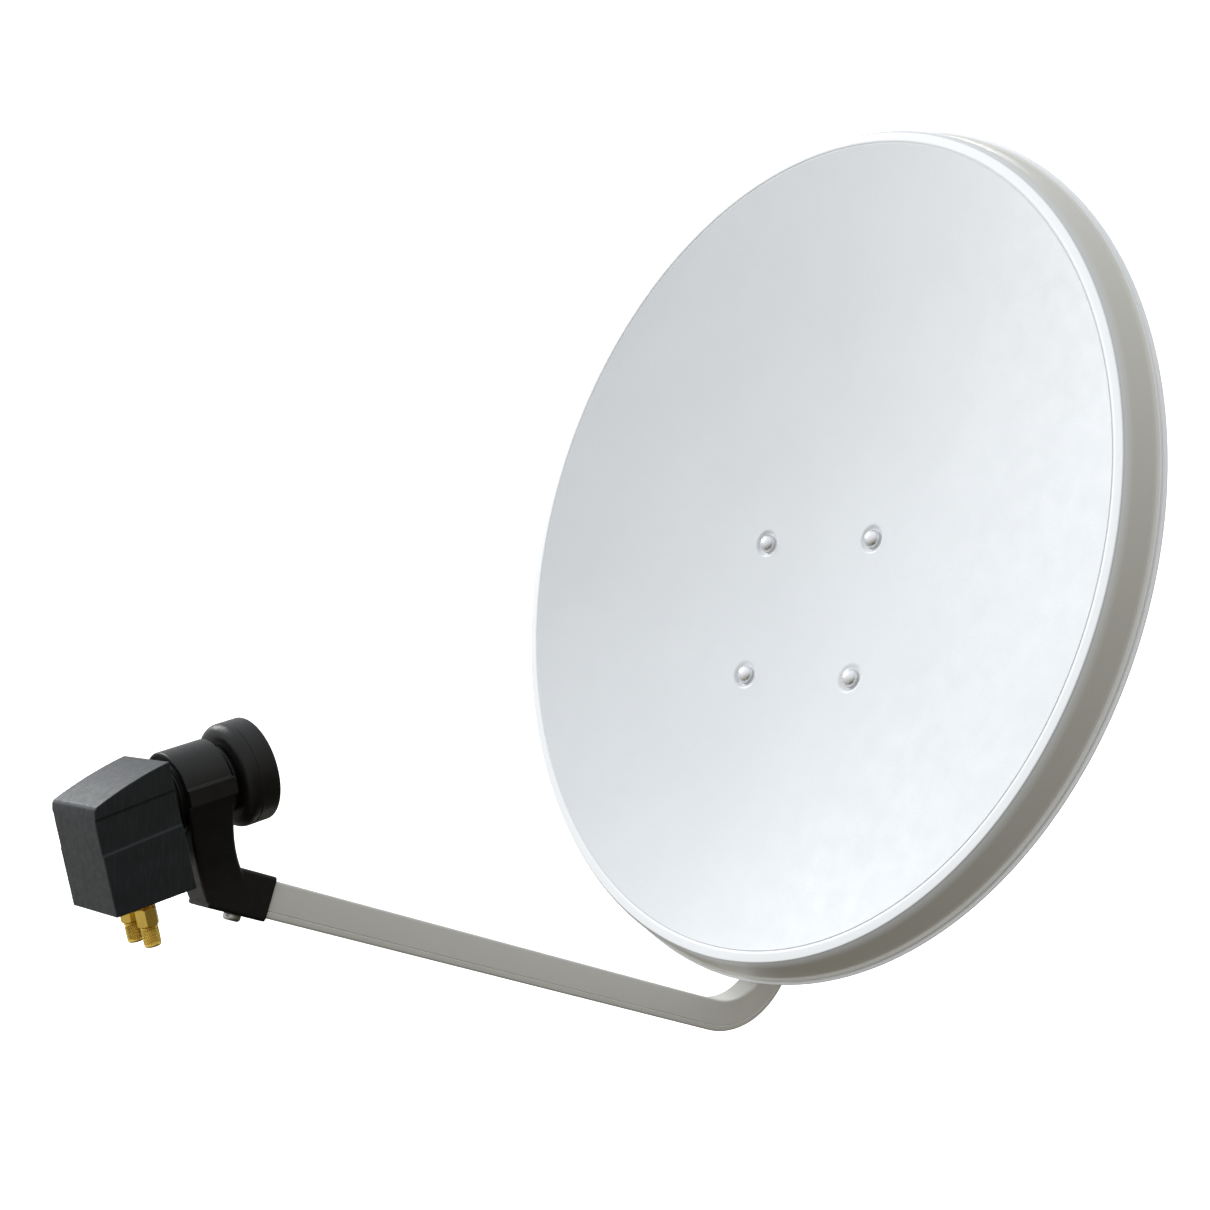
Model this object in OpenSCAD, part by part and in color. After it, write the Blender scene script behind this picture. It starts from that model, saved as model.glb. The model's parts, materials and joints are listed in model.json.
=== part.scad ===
// Offset satellite dish, 60 cm class, for a 50 mm mast.
// The origin is the middle of the mast clamp, Z runs up the mast, and the dish faces -Y.

/* [Reflector] */
// Width of the reflector across its outer flange
dish_width = 600; // [590:1:610]
// Angle between the face of the reflector and the beam that it receives
offset_angle = 25.7; // [25:0.1:26.5]
// Focal length of the paraboloid
focal_length = 406; // [400:1:420]
// Thickness of the pressed sheet
sheet_t = 1.1; // [0.9:0.1:1.3]
// Width of the flat lip around the dished face
lip_w = 7; // [6:0.5:8]
// Radius of the rounded shoulder
shoulder_r = 4.5; // [4.3:0.1:5]
// Depth of the rim from lip to flange
rim_depth = 30; // [29:0.5:31]
// Distance between the four mounting bolts, across and up
bolt_pitch = 106; // [104:1:108]
// Height of the middle of the bolt pattern above the middle of the rim
bolt_centre = -48; // [-50:1:-46]

/* [Feed arm] */
// Width of the rectangular tube
tube_w = 20; // [20:0.5:20.5]
// Height of the rectangular tube
tube_h = 22; // [21.5:0.5:22]
// Wall of the rectangular tube
tube_wall = 1.5; // [1.2:0.1:1.8]
// Radius of the bend on the tube's middle line
bend_r = 60; // [59:0.5:61]
// Angle at which the front run drops toward the dish
run_drop = 6.3; // [6:0.1:6.6]

/* [Feed head] */
// Diameter of the ribbed neck
neck_d = 40; // [39.8:0.1:40]
// Diameter of the cap around the lens
cap_d = 61; // [60:0.5:62]
// Width of the housing
head_w = 54; // [52:1:56]
// Distance between the two threaded ports
port_pitch = 20; // [19:0.5:22]
// Width across the flats of a plug nut
plug_flats = 11; // [10.9:0.1:11.1]

/* [Mast clamp] */
// Diameter of the mast
mast_d = 50; // [48:0.5:51]
// Height of the whole clamp along the mast
clamp_h = 124; // [120:1:128]

/* [Hidden] */
$fn = 64;
eps = 0.01;

// Colours
zinc = "#b9bcbd";
white_paint = "#e4e8ec";
grey_paint = "#96968f";
black_plastic = "#1d1e20";
slate_plastic = "#23282c";
gold = "#d9a62e";

// Place of the rim's middle, and the tilt of the rim from upright
dish_y = -154;
dish_z = 61;
dish_tilt = 12.4;
// Place of the clamp ring's middle, in the dish's frame
feed_y = -442;
feed_z = -259.5;

// Rim and bowl
flange_w = 22;
half_w = dish_width / 2 - flange_w;
half_h = half_w / cos(offset_angle);
bowl_depth = half_w * half_w / (4 * focal_length);
bowl_rings = 8;
around = 64;
lip_y = -0.6;
skirt_top_y = shoulder_r + lip_y;
skirt_lean = 16;

// Holes for M5, M6 and M8 bolts, and the running fit of the pivot
m5_r = 2.5;
m6_r = 3;
m8_r = 4;
hole_gap = 0.3;
fit_gap = 0.05;

// Two brackets that pivot on each other, in the mast's frame
pivot_y = -80;
pivot_z = -25;
lock_z = 27;
lock_reach = lock_z - pivot_z;
cheek_out = 30;
plate_t = 3;
cheek_gap = 0.3;
dish_cheek_in = cheek_out + cheek_gap;
dish_cheek_out = dish_cheek_in + plate_t;
web_y = -42;
pivot_boss = 14;
lock_boss = 13;

// Bracket behind the reflector, in the dish's frame
plate_y = 46;
plate_half_w = 66;
plate_low = -125;
plate_high = 29;
pivot_dish = to_dish(pivot_y, pivot_z);
slot_low_angle = 80;
slot_high_angle = 117.5;
slot_r = m8_r + hole_gap;
washer_t = 1.6;
nut_x = dish_cheek_out + cheek_gap + washer_t;
dimple_d = 1.6;
dome_r = 7;
dome_h = 6.2;

// Feed arm, in the dish's frame
arm_back_y = plate_y + plate_t + tube_h / 2;
arm_top_z = -62;
bend_y = arm_back_y - bend_r;
run_start = [-419, -310.5];
run_dir = [cos(run_drop), -sin(run_drop)];
run_up = [sin(run_drop), cos(run_drop)];
bend_s = (bend_y - run_start[0] - bend_r * run_up[0]) / run_dir[0];
bend_start = run_start + bend_s * run_dir;
bend_z = bend_start[1] + bend_r * run_up[1];
bend_steps = 16;
cross_bolt_z = [-78, -108];
socket_t = 2.5;
socket_low = -122;
socket_high = -64;

// Clamp ring that holds the feed head, in the head's frame
ring_half = 14.5;
ring_r = neck_d / 2 + 0.3;
ring_out = 25;
band_out = 27;
band_low = -5;
band_high = 5;
part_gap = 0.3;
sleeve_wall = 2;
sleeve_gap = 0.15;
sleeve_end = 35;

// Feed head, in its own frame: Y runs toward the reflector
head_front = -22;
head_back = -70;
head_top = 24;
head_back_top = 14;
head_low = -48;
head_wall = 2.2;
base_z = -40;
base_t = 2.4;
cap_start = 20;
cap_end = 40;
lens_r = 27;
port_y = -46;
port_end = -59.8;
port_r = 4.76;
port_bore = 3.4;
nut_top = -52.5;
nut_low = -62.5;
nut_shoulder = -61.3;
sleeve_top = -63;
sleeve_low = -74.5;
plug_r = 4.75;
cable_r = 3.5;
cable_depth = 10;
probe_places = [[0, 2.6], [2.6, 0]];

// Clamp on the mast
seat_h = 28;
seat_z = clamp_h / 2 - seat_h;
mast_r = mast_d / 2;
clamp_bolt_x = 41;
ear_x = 50;
jaw_t = 3.5;
jaw_ear_y = mast_r * cos(60);

function to_dish(y, z) = let (dy = y - dish_y, dz = z - dish_z, c = cos(dish_tilt), s = sin(dish_tilt))
    [dy * c - dz * s, dy * s + dz * c];
function polar(c, r, a) = c + r * [cos(a), sin(a)];
function arc(c, r, a0, a1) = let (n = ceil(abs(a1 - a0) / 10)) [for (k = [0:n]) polar(c, r, a0 + (a1 - a0) * k / n)];
// Angle at which the line from a touches the circle about c
function tangent_angle(a, c, r) = let (d = c - a) atan2(d[1], d[0]) - asin(r / norm(d)) - 90;
// Point where a line from a touches the circle about c, on one side (1) or the other (-1)
function tangent(a, c, r, side) = let (d = c - a, l = norm(d), turn = atan2(d[1], d[0]) + side * asin(r / l))
    polar(a, sqrt(l * l - r * r), turn);

// Points of the reflector: a ring is one closed row of points around it
function rim_point(e, y, a) = let (n = [cos(a) / half_w, sin(a) / half_h], m = n / norm(n))
    [half_w * cos(a) + e * m[0], y, half_h * sin(a) + e * m[1]];
function bowl_point(t, a, back) = let (d = bowl_depth * (1 - t * t))
    [half_w * t * cos(a), d * cos(offset_angle) + back, half_h * t * sin(a) - d * sin(offset_angle)];
function rim_ring(p) = [for (k = [0:around - 1]) rim_point(p[0], p[1], 360 * k / around)];
function bowl_ring(t, back) = [for (k = [0:around - 1]) bowl_point(t, 360 * k / around, back)];
function shoulder(r) = [for (k = [0:4]) let (a = (90 - skirt_lean) * k / 4)
    [lip_w + r * sin(a), skirt_top_y - r * cos(a)]];
function reversed(list) = [for (k = [len(list) - 1:-1:0]) list[k]];
// Depth of the bowl below the rim's plane at a place across and up
function bowl_y(x, z) = let (q = 1 / (4 * focal_length), c = cos(offset_angle), s = sin(offset_angle),
    a = q * c * c * s * s, b = 1 + 2 * q * c * c * z * s, k = q * (x * x + c * c * z * z) - bowl_depth)
    c * (sqrt(b * b - 4 * a * k) - b) / (2 * a);

module closed_rings(first, rings, last) {
    points = concat([first], [for (r = rings) each r], [last]);
    end = len(points) - 1;
    faces = concat(
        [for (j = [0:around - 1]) [0, 1 + (j + 1) % around, 1 + j]],
        [for (i = [0:len(rings) - 2], j = [0:around - 1]) let (a = 1 + i * around, k = (j + 1) % around)
            [a + j, a + k, a + around + k]],
        [for (i = [0:len(rings) - 2], j = [0:around - 1]) let (a = 1 + i * around, k = (j + 1) % around)
            [a + j, a + around + k, a + around + j]],
        [for (j = [0:around - 1]) [end, end - around + j, end - around + (j + 1) % around]]);
    polyhedron(points, faces);
}

// Frames
module in_dish() { translate([0, dish_y, dish_z]) rotate([-dish_tilt, 0, 0]) children(); }
module in_feed() { in_dish() translate([0, feed_y, feed_z]) rotate([offset_angle, 0, 0]) children(); }
// An outline in Y and Z, made w wide along X, about x = 0
module side_plate(w) { rotate([90, 0, 90]) linear_extrude(w, center = true) children(); }
module side_slab(x, w) { translate([x, 0, 0]) rotate([90, 0, 90]) linear_extrude(w) children(); }
module both_sides() { children(); mirror([1, 0, 0]) children(); }

// Round bars along each axis, from a to b
module bar_x(r, a, b, y, z) { translate([a, y, z]) rotate([0, 90, 0]) cylinder(r = r, h = b - a); }
module bar_y(r, a, b, x, z) { translate([x, a, z]) rotate([-90, 0, 0]) cylinder(r = r, h = b - a); }
module bar_z(r, a, b, x, y) { translate([x, y, a]) cylinder(r = r, h = b - a); }
module hex_y(flats, a, b, x, z) {
    translate([x, a, z]) rotate([-90, 0, 0]) cylinder(d = flats / cos(30), h = b - a, $fn = 6);
}
module hex_x(flats, a, b, y, z) {
    translate([a, y, z]) rotate([0, 90, 0]) cylinder(d = flats / cos(30), h = b - a, $fn = 6);
}

// ---- Mast side ----
module mast_cheek_outline() {
    p = [pivot_y, pivot_z];
    l = [pivot_y, lock_z];
    low = [web_y, -clamp_h / 2];
    high = [web_y, clamp_h / 2];
    polygon([low + [plate_t, 0], low, tangent(low, p, pivot_boss, -1), p - [pivot_boss, 0],
        l - [lock_boss, 0], tangent(high, l, lock_boss, 1), high, high + [plate_t, 0]]);
    translate(p) circle(pivot_boss);
    translate(l) circle(lock_boss);
}

module mast_channel() color(zinc) difference() {
    union() {
        translate([-cheek_out, web_y, -clamp_h / 2]) cube([2 * cheek_out, plate_t, clamp_h]);
        both_sides() side_slab(cheek_out - plate_t, plate_t) mast_cheek_outline();
    }
    for (z = [pivot_z, lock_z]) bar_x(m8_r + fit_gap, -cheek_out - 1, cheek_out + 1, pivot_y, z);
}

module saddle(z) difference() {
    union() {
        translate([-cheek_out, web_y + plate_t, z]) cube([2 * cheek_out, -web_y - plate_t - jaw_ear_y, seat_h]);
        translate([-ear_x, -33, z]) cube([2 * ear_x, 6, seat_h]);
    }
    translate([0, 0, z - 1]) cylinder(r = mast_r, h = seat_h + 2);
    for (s = [-1, 1]) bar_y(m8_r + fit_gap, -34, -26, s * clamp_bolt_x, z + seat_h / 2);
}
module mast_saddles() color(zinc) {
    saddle(seat_z);
    saddle(-seat_z - seat_h);
}

module clamp_bolts() color(zinc) for (s = [-1, 1], t = [-1, 1]) {
    hex_y(13, -38.3, -33, s * clamp_bolt_x, t * (seat_z + seat_h / 2));
    bar_y(m8_r, -33 - eps, 46, s * clamp_bolt_x, t * (seat_z + seat_h / 2));
}

module jaw(z) color(zinc) {
    z_mid = z + seat_h / 2;
    difference() {
        union() {
            intersection() {
                translate([0, 0, z]) cylinder(r = mast_r + jaw_t, h = seat_h);
                translate([-ear_x, jaw_ear_y, z]) cube([2 * ear_x, mast_r + jaw_t, seat_h]);
            }
            translate([-ear_x, jaw_ear_y, z]) cube([2 * ear_x, jaw_t, seat_h]);
        }
        translate([0, 0, z - 1]) cylinder(r = mast_r, h = seat_h + 2);
        for (s = [-1, 1]) bar_y(m8_r + 0.4, jaw_ear_y - 1, jaw_ear_y + jaw_t + 1, s * clamp_bolt_x, z_mid);
    }
}
module upper_jaw() jaw(seat_z);
module lower_jaw() jaw(-seat_z - seat_h);

module jaw_nuts(z) color(zinc) for (s = [-1, 1]) difference() {
    hex_y(13, jaw_ear_y + jaw_t, jaw_ear_y + jaw_t + 6.8, s * clamp_bolt_x, z);
    bar_y(m8_r + fit_gap, jaw_ear_y, jaw_ear_y + 12, s * clamp_bolt_x, z);
}
module upper_jaw_nuts() jaw_nuts(seat_z + seat_h / 2);
module lower_jaw_nuts() jaw_nuts(-seat_z - seat_h / 2);

// A bolt whose head is inside the channel and whose end stands out past the cheeks
module cheek_bolt(z, end) color(zinc) both_sides() {
    hex_x(13, cheek_out - plate_t - 5.3, cheek_out - plate_t, pivot_y, z);
    bar_x(m8_r, cheek_out - plate_t - eps, end, pivot_y, z);
}
module pivot_bolts() cheek_bolt(pivot_z, 46);
module lock_bolts() cheek_bolt(lock_z, 49);

module cheek_washers(z, r) color(zinc) both_sides() difference() {
    bar_x(r, dish_cheek_out + cheek_gap, dish_cheek_out + cheek_gap + washer_t, pivot_y, z);
    bar_x(m8_r + fit_gap, dish_cheek_out, dish_cheek_out + 3, pivot_y, z);
}
module pivot_washers() cheek_washers(pivot_z, 8);
module lock_washers() cheek_washers(lock_z, 11);

module pivot_nuts() color(zinc) both_sides() difference() {
    union() {
        hex_x(13, nut_x, nut_x + 6.5, pivot_y, pivot_z);
        bar_x(5.8, nut_x + 6, nut_x + 8, pivot_y, pivot_z);
    }
    bar_x(m8_r + fit_gap, nut_x - 1, nut_x + 9, pivot_y, pivot_z);
}

module wing_nut() color(zinc) translate([nut_x + 0.1, pivot_y, lock_z]) difference() {
    union() {
        rotate([0, 90, 0]) cylinder(r1 = 7.5, r2 = 6, h = 9);
        for (s = [-1, 1]) side_slab(2, 3.4) polygon([[0, -3.5 * s], [9 * s, -4.5 * s], [16 * s, -2 * s],
            [18 * s, 3 * s], [15 * s, 7 * s], [10 * s, 5 * s], [0, 3.5 * s]]);
        for (s = [-1, 1]) translate([2, s * 13.5, s * 2.5]) rotate([0, 90, 0]) cylinder(r = 4.2, h = 11);
    }
    rotate([0, 90, 0]) translate([0, 0, -1]) cylinder(r = m8_r + fit_gap, h = 12);
}
module wing_nut_right() wing_nut();
module wing_nut_left() mirror([1, 0, 0]) wing_nut();

// ---- Reflector ----
module reflector_shell() {
    outer = concat(shoulder(shoulder_r), [[17.6, rim_depth - 4.8], [18.9, rim_depth - 4.1],
        [19.4, rim_depth - 3], [19.3, rim_depth - 2], [flange_w, rim_depth - 1.4], [flange_w, rim_depth]]);
    inner = concat([[18.8, rim_depth - 0.2], [18.1, rim_depth - 1.6], [17.4, rim_depth - 3.3],
        [16.5, rim_depth - 4.4]], reversed(shoulder(shoulder_r - sheet_t)));
    rings = concat(
        [for (i = [1:bowl_rings]) bowl_ring(i / bowl_rings, 0)],
        [for (p = outer) rim_ring(p)],
        [for (p = inner) rim_ring(p)],
        [for (i = [bowl_rings:-1:1]) bowl_ring(i / bowl_rings, sheet_t)]);
    closed_rings(bowl_point(0, 0, 0), rings, bowl_point(0, 0, sheet_t));
}
// Everything behind the middle of the sheet, as far out as the bolts need
module behind_sheet() {
    last = bowl_rings * 0.75;
    edge = bowl_ring(last / bowl_rings, 0);
    end_y = 60;
    rings = concat([for (i = [1:last]) bowl_ring(i / bowl_rings, sheet_t / 2)],
        [[for (p = edge) [p[0], end_y, p[2]]]]);
    closed_rings(bowl_point(0, 0, sheet_t / 2), rings, [0, end_y, 0]);
}
module at_bolts() for (s = [-1, 1], t = [-1, 1]) translate([s * bolt_pitch / 2, 0, bolt_centre + t * bolt_pitch / 2])
    children();
// Depth of the upper (1) and lower (-1) bolt seats
function seat_y(t) = bowl_y(bolt_pitch / 2, bolt_centre + t * bolt_pitch / 2) + dimple_d;
module bolt_place(s, t) translate([s * bolt_pitch / 2, seat_y(t), bolt_centre + t * bolt_pitch / 2]) children();

module reflector() color(white_paint) in_dish() difference() {
    union() {
        reflector_shell();
        intersection() {
            behind_sheet();
            for (s = [-1, 1], t = [-1, 1]) bolt_place(s, t) bar_y(11.5, -8, sheet_t, 0, 0);
        }
    }
    for (s = [-1, 1], t = [-1, 1]) bolt_place(s, t) {
        bar_y(10.4, -8, 0, 0, 0);
        bar_y(m6_r + hole_gap, -1, 6, 0, 0);
    }
}

// Domed head, square neck left out because the sheet's hole is round
module reflector_bolts() color(zinc) in_dish() for (s = [-1, 1], t = [-1, 1]) bolt_place(s, t) {
    rotate([-90, 0, 0]) rotate_extrude() polygon(concat([[0, 0], [dome_r, 0]],
        [for (a = [0:10:90]) [dome_r * cos(a), -0.4 - (dome_h - 0.4) * sin(a)]]));
    bar_y(m6_r, -1, plate_y + plate_t + 12 - seat_y(t), 0, 0);
}
module reflector_spacers() color(black_plastic) in_dish() for (s = [-1, 1], t = [-1, 1]) bolt_place(s, t)
    difference() {
        bar_y(8, sheet_t, plate_y - seat_y(t), 0, 0);
        bar_y(m6_r + hole_gap, 0, 12, 0, 0);
    }
module reflector_washers() color(zinc) in_dish() for (s = [-1, 1], t = [-1, 1])
    translate([s * bolt_pitch / 2, plate_y + plate_t, bolt_centre + t * bolt_pitch / 2]) difference() {
        bar_y(7.5, 0, washer_t, 0, 0);
        bar_y(m6_r + hole_gap, -1, 3, 0, 0);
    }
module reflector_nuts() color(zinc) in_dish() for (s = [-1, 1], t = [-1, 1])
    translate([s * bolt_pitch / 2, plate_y + plate_t + washer_t, bolt_centre + t * bolt_pitch / 2]) difference() {
        hex_y(10, 0, 5, 0, 0);
        bar_y(m6_r + fit_gap, -1, 6, 0, 0);
    }

// ---- Bracket behind the reflector ----
module dish_cheek_outline() {
    p = pivot_dish;
    low = [plate_y, plate_low + 12];
    far_end = polar(p, lock_reach, slot_low_angle);
    edge_angle = slot_low_angle - 90;
    polygon(concat([low], arc(p, pivot_boss, tangent_angle(low, p, pivot_boss), edge_angle),
        arc(far_end, lock_boss, edge_angle, slot_low_angle),
        arc(p, lock_reach + lock_boss, slot_low_angle, slot_high_angle), [[plate_y, plate_high - 8]]));
}
// Curved slot through both cheeks, about the pivot
module lock_slot() {
    band = slot_r - 0.04;
    translate([0, pivot_dish[0], pivot_dish[1]]) rotate([90, 0, 90]) {
        rotate([0, 0, slot_low_angle]) rotate_extrude(angle = slot_high_angle - slot_low_angle, $fn = 96)
            translate([lock_reach - band, -dish_cheek_out - 1]) square([2 * band, 2 * dish_cheek_out + 2]);
        for (a = [slot_low_angle, slot_high_angle]) rotate([0, 0, a]) translate([lock_reach, 0, 0])
            cylinder(r = slot_r, h = 2 * dish_cheek_out + 4, center = true);
    }
}
module plate_outline() {
    corner = 10;
    polygon([[-plate_half_w, plate_low + corner], [-plate_half_w + corner, plate_low],
        [plate_half_w - corner, plate_low], [plate_half_w, plate_low + corner],
        [plate_half_w, plate_high - corner], [plate_half_w - corner, plate_high],
        [-plate_half_w + corner, plate_high], [-plate_half_w, plate_high - corner]]);
}
module dish_bracket() color(zinc) in_dish() difference() {
    union() {
        translate([0, plate_y + plate_t, 0]) rotate([90, 0, 0]) linear_extrude(plate_t) plate_outline();
        both_sides() side_slab(dish_cheek_in, plate_t) dish_cheek_outline();
    }
    lock_slot();
    bar_x(m8_r + 0.06, -dish_cheek_out - 1, dish_cheek_out + 1, pivot_dish[0], pivot_dish[1]);
    at_bolts() bar_y(m6_r + hole_gap, plate_y - 1, plate_y + plate_t + 1, 0, 0);
}

// ---- Feed arm ----
module arm_socket() color(zinc) in_dish() difference() {
    inner = tube_w / 2;
    outer = inner + socket_t;
    back = arm_back_y + tube_h / 2;
    front = plate_y + plate_t;
    translate([0, 0, socket_low]) linear_extrude(socket_high - socket_low) polygon([[-26, front],
        [-26, front + socket_t], [-outer, front + socket_t], [-outer, back + socket_t],
        [outer, back + socket_t], [outer, front + socket_t], [26, front + socket_t], [26, front],
        [inner, front], [inner, back], [-inner, back], [-inner, front]]);
    for (z = cross_bolt_z) bar_x(m6_r + hole_gap, -20, 20, arm_back_y, z);
}
module arm_bolts() color(zinc) in_dish() for (z = cross_bolt_z) {
    hex_x(10, -tube_w / 2 - socket_t - 4, -tube_w / 2 - socket_t, arm_back_y, z);
    bar_x(m6_r, -tube_w / 2 - socket_t - eps, tube_w / 2 + socket_t + 7.5, arm_back_y, z);
}
module arm_nuts() color(zinc) in_dish() for (z = cross_bolt_z) difference() {
    hex_x(10, tube_w / 2 + socket_t, tube_w / 2 + socket_t + 5, arm_back_y, z);
    bar_x(m6_r + fit_gap, tube_w / 2, tube_w / 2 + 12, arm_back_y, z);
}

// Outline in Y and Z of the arm's route, h high, past each end by extra
function bend_arc(r) = [for (k = [0:bend_steps]) polar([bend_y, bend_z], r, (90 + run_drop) * (k / bend_steps - 1))];
function arm_outline(h, extra) = let (front = run_start - extra * run_dir, top = arm_top_z + extra)
    concat([front - h / 2 * run_up], bend_arc(bend_r + h / 2), [[arm_back_y + h / 2, top],
    [arm_back_y - h / 2, top]], reversed(bend_arc(bend_r - h / 2)), [front + h / 2 * run_up]);
module arm_bar(w, h, extra) { side_plate(w) polygon(arm_outline(h, extra)); }
module feed_arm() color(grey_paint) in_dish() difference() {
    arm_bar(tube_w, tube_h, 0);
    arm_bar(tube_w - 2 * tube_wall, tube_h - 2 * tube_wall, 1);
    for (z = cross_bolt_z) bar_x(m6_r + hole_gap, -20, 20, arm_back_y, z);
    on_run(20) translate([0, 0, -tube_h]) cylinder(r = m5_r + hole_gap, h = tube_h);
}
// Frame on the front run's middle line, s from its front end; Z is square to the run
module on_run(s) {
    p = run_start + s * run_dir;
    translate([0, p[0], p[1]]) rotate([-run_drop, 0, 0]) children();
}
module arm_end_cap() color(black_plastic) in_dish() {
    w = tube_w - 2 * tube_wall - 0.1;
    h = tube_h - 2 * tube_wall - 0.1;
    translate([-w / 2, arm_back_y - h / 2, arm_top_z - 12]) cube([w, h, 12 + eps]);
    translate([-tube_w / 2, arm_back_y - tube_h / 2 + 0.1, arm_top_z]) cube([tube_w, tube_h - 0.2, 2.5]);
}

// ---- Holder for the feed head ----
module ring_y(r_in, r_out, a, b) rotate([-90, 0, 0]) translate([0, 0, a]) difference() {
    cylinder(r = r_out, h = b - a);
    translate([0, 0, -1]) cylinder(r = r_in, h = b - a + 2);
}
module block(x0, x1, y0, y1, z0, z1) translate([x0, y0, z0]) cube([x1 - x0, y1 - y0, z1 - z0]);

// Front view of the stalk: wide at the ring, narrow at the sleeve
module stalk_front() {
    sleeve_x = tube_w / 2 + sleeve_gap + sleeve_wall;
    half = [[0, band_low - part_gap], [23.6, band_low - part_gap], [21.6, -14], [18.4, -26], [15.6, -37],
        [13.4, -48], [sleeve_x, -58], [sleeve_x, -92], [0, -92]];
    polygon(concat(half, [for (p = reversed(half)) [-p[0], p[1]]]));
}
// Side view of the stalk, in the head's frame
module stalk_side() polygon([[-ring_half, band_low - part_gap], [-14, -25], [-12.2, -45], [-10.2, -64],
    [-7.4, -67.4], [6, -75], [13.9, -49.6], [12.4, -32], [12.6, -20], [ring_half, band_low - part_gap]]);
module lnb_holder() color(black_plastic) {
    h = tube_h + 2 * (sleeve_gap + sleeve_wall);
    w = tube_w + 2 * (sleeve_gap + sleeve_wall);
    difference() {
        union() {
            in_feed() intersection() {
                side_plate(2 * ring_out) stalk_side();
                translate([0, 30, 0]) rotate([90, 0, 0]) linear_extrude(60) stalk_front();
            }
            in_feed() intersection() {
                ring_y(ring_r, ring_out, -ring_half, ring_half);
                block(-30, 30, -20, 20, -30, band_low - part_gap);
            }
            in_dish() on_run(0) block(-w / 2, w / 2, -3, sleeve_end, -h / 2, h / 2);
        }
        in_feed() rotate([-90, 0, 0]) cylinder(r = ring_r, h = 60, center = true);
        in_dish() on_run(0) block(-tube_w / 2 - sleeve_gap, tube_w / 2 + sleeve_gap, 0, sleeve_end + 1,
            -tube_h / 2 - sleeve_gap, tube_h / 2 + sleeve_gap);
        in_dish() on_run(20) translate([0, 0, -20]) cylinder(r = m5_r + hole_gap, h = 15);
    }
}
module holder_bolt() color(zinc) in_dish() on_run(20) {
    under = -tube_h / 2 - sleeve_gap - sleeve_wall;
    rotate([180, 0, 0]) translate([0, 0, -under]) rotate_extrude() polygon(concat([[0, 0]],
        [[5.2, 0]], [for (a = [0:15:90]) [3 + 2.2 * cos(a), 1.6 + 2.2 * sin(a)]], [[0, 3.8]]));
    translate([0, 0, under - eps]) cylinder(r = m5_r, h = 12);
}
module holder_nut() color(zinc) in_dish() on_run(20) difference() {
    translate([0, 0, -tube_h / 2 + tube_wall]) cylinder(d = 8 / cos(30), h = 4, $fn = 6);
    translate([0, 0, -tube_h / 2]) cylinder(r = m5_r + fit_gap, h = 8);
}
// Upper strap of the ring, with a band on each side that snaps over the lower half
module holder_cap() color(black_plastic) in_feed() difference() {
    union() {
        intersection() {
            rotate([-90, 0, 0]) cylinder(r = ring_out, h = 2 * ring_half, center = true);
            block(-30, 30, -20, 20, 0, 30);
        }
        block(-band_out, band_out, -ring_half, ring_half, band_low, band_high);
    }
    rotate([-90, 0, 0]) cylinder(r = ring_r, h = 60, center = true);
    block(-ring_r, ring_r, -20, 20, -10, 0);
}

// ---- Feed head ----
module head_outline(d, low) polygon([[head_front - d, low], [head_front - d, head_top - d],
    [(head_front + head_back) / 2, (head_top + head_back_top) / 2 + 1.6 - d], [head_back + 6, head_back_top - d],
    [head_back + d, head_back_top - 8 - d / 2], [head_back + d, low]]);
module lnb_housing() color(slate_plastic) in_feed() difference() {
    side_plate(head_w) head_outline(0, head_low);
    side_plate(head_w - 2 * head_wall) head_outline(head_wall, head_low - 1);
    bar_y(15, head_front - 5, head_front + 5, 0, 0);
    // Arched opening at the foot of the front wall
    translate([0, head_front + 1, head_low - 12]) rotate([90, 0, 0]) cylinder(r = 20, h = 6);
}
module lnb_base() color(slate_plastic) in_feed() difference() {
    gap = 0.1;
    block(-head_w / 2 + head_wall + gap, head_w / 2 - head_wall - gap, head_back + head_wall + gap,
        head_front - head_wall - gap, base_z, base_z + base_t);
    for (s = [-1, 1]) bar_z(port_r + 0.02, base_z - 1, base_z + base_t + 1, s * port_pitch / 2, port_y);
}
module lnb_neck() color(black_plastic) in_feed() difference() {
    union() {
        bar_y(neck_d / 2 - 1, head_front, cap_start, 0, 0);
        for (k = [0:11]) bar_y(neck_d / 2, head_front + 2 + 3.4 * k, head_front + 4 + 3.4 * k, 0, 0);
        bar_y(14.9, head_front - 4, head_front + 1, 0, 0);
    }
    bar_y(12.2, head_front - 5, cap_start + 1, 0, 0);
}
module feed_cap() color(black_plastic) in_feed() rotate([-90, 0, 0]) rotate_extrude() {
    r = cap_d / 2;
    round_r = 5;
    polygon(concat([[12.2, cap_start], [r - round_r, cap_start]],
        [for (a = [-75:15:0]) [r - round_r + round_r * cos(a), cap_start + round_r + round_r * sin(a)]],
        [[r, cap_end - 1.5], [r - 1.5, cap_end], [lens_r + 0.1, cap_end], [lens_r + 0.1, cap_end - 3],
        [lens_r - 2, cap_end - 3], [16, cap_start + 3], [12.2, cap_start + 3]]));
}
module feed_lens() color("white") in_feed() rotate([-90, 0, 0]) translate([0, 0, cap_end - 3]) rotate_extrude()
    polygon([[0, 0], [lens_r, 0], [lens_r, 2.4], [20, 2.8], [10, 3], [0, 3]]);
module lnb_waveguide() color("silver") in_feed() difference() {
    union() {
        bar_y(12.1, head_front - 4, cap_start + 3, 0, 0);
        bar_y(18, head_front - 8, head_front - 4.1, 0, 0);
    }
    bar_y(9, head_front - 5, cap_start + 4, 0, 0);
    // Clearance where the probes come through from the board
    for (p = probe_places) block(p[0] - 1, p[0] + 1, head_front - 9, head_front - 4, p[1] - 1, p[1] + 1);
}
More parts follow.
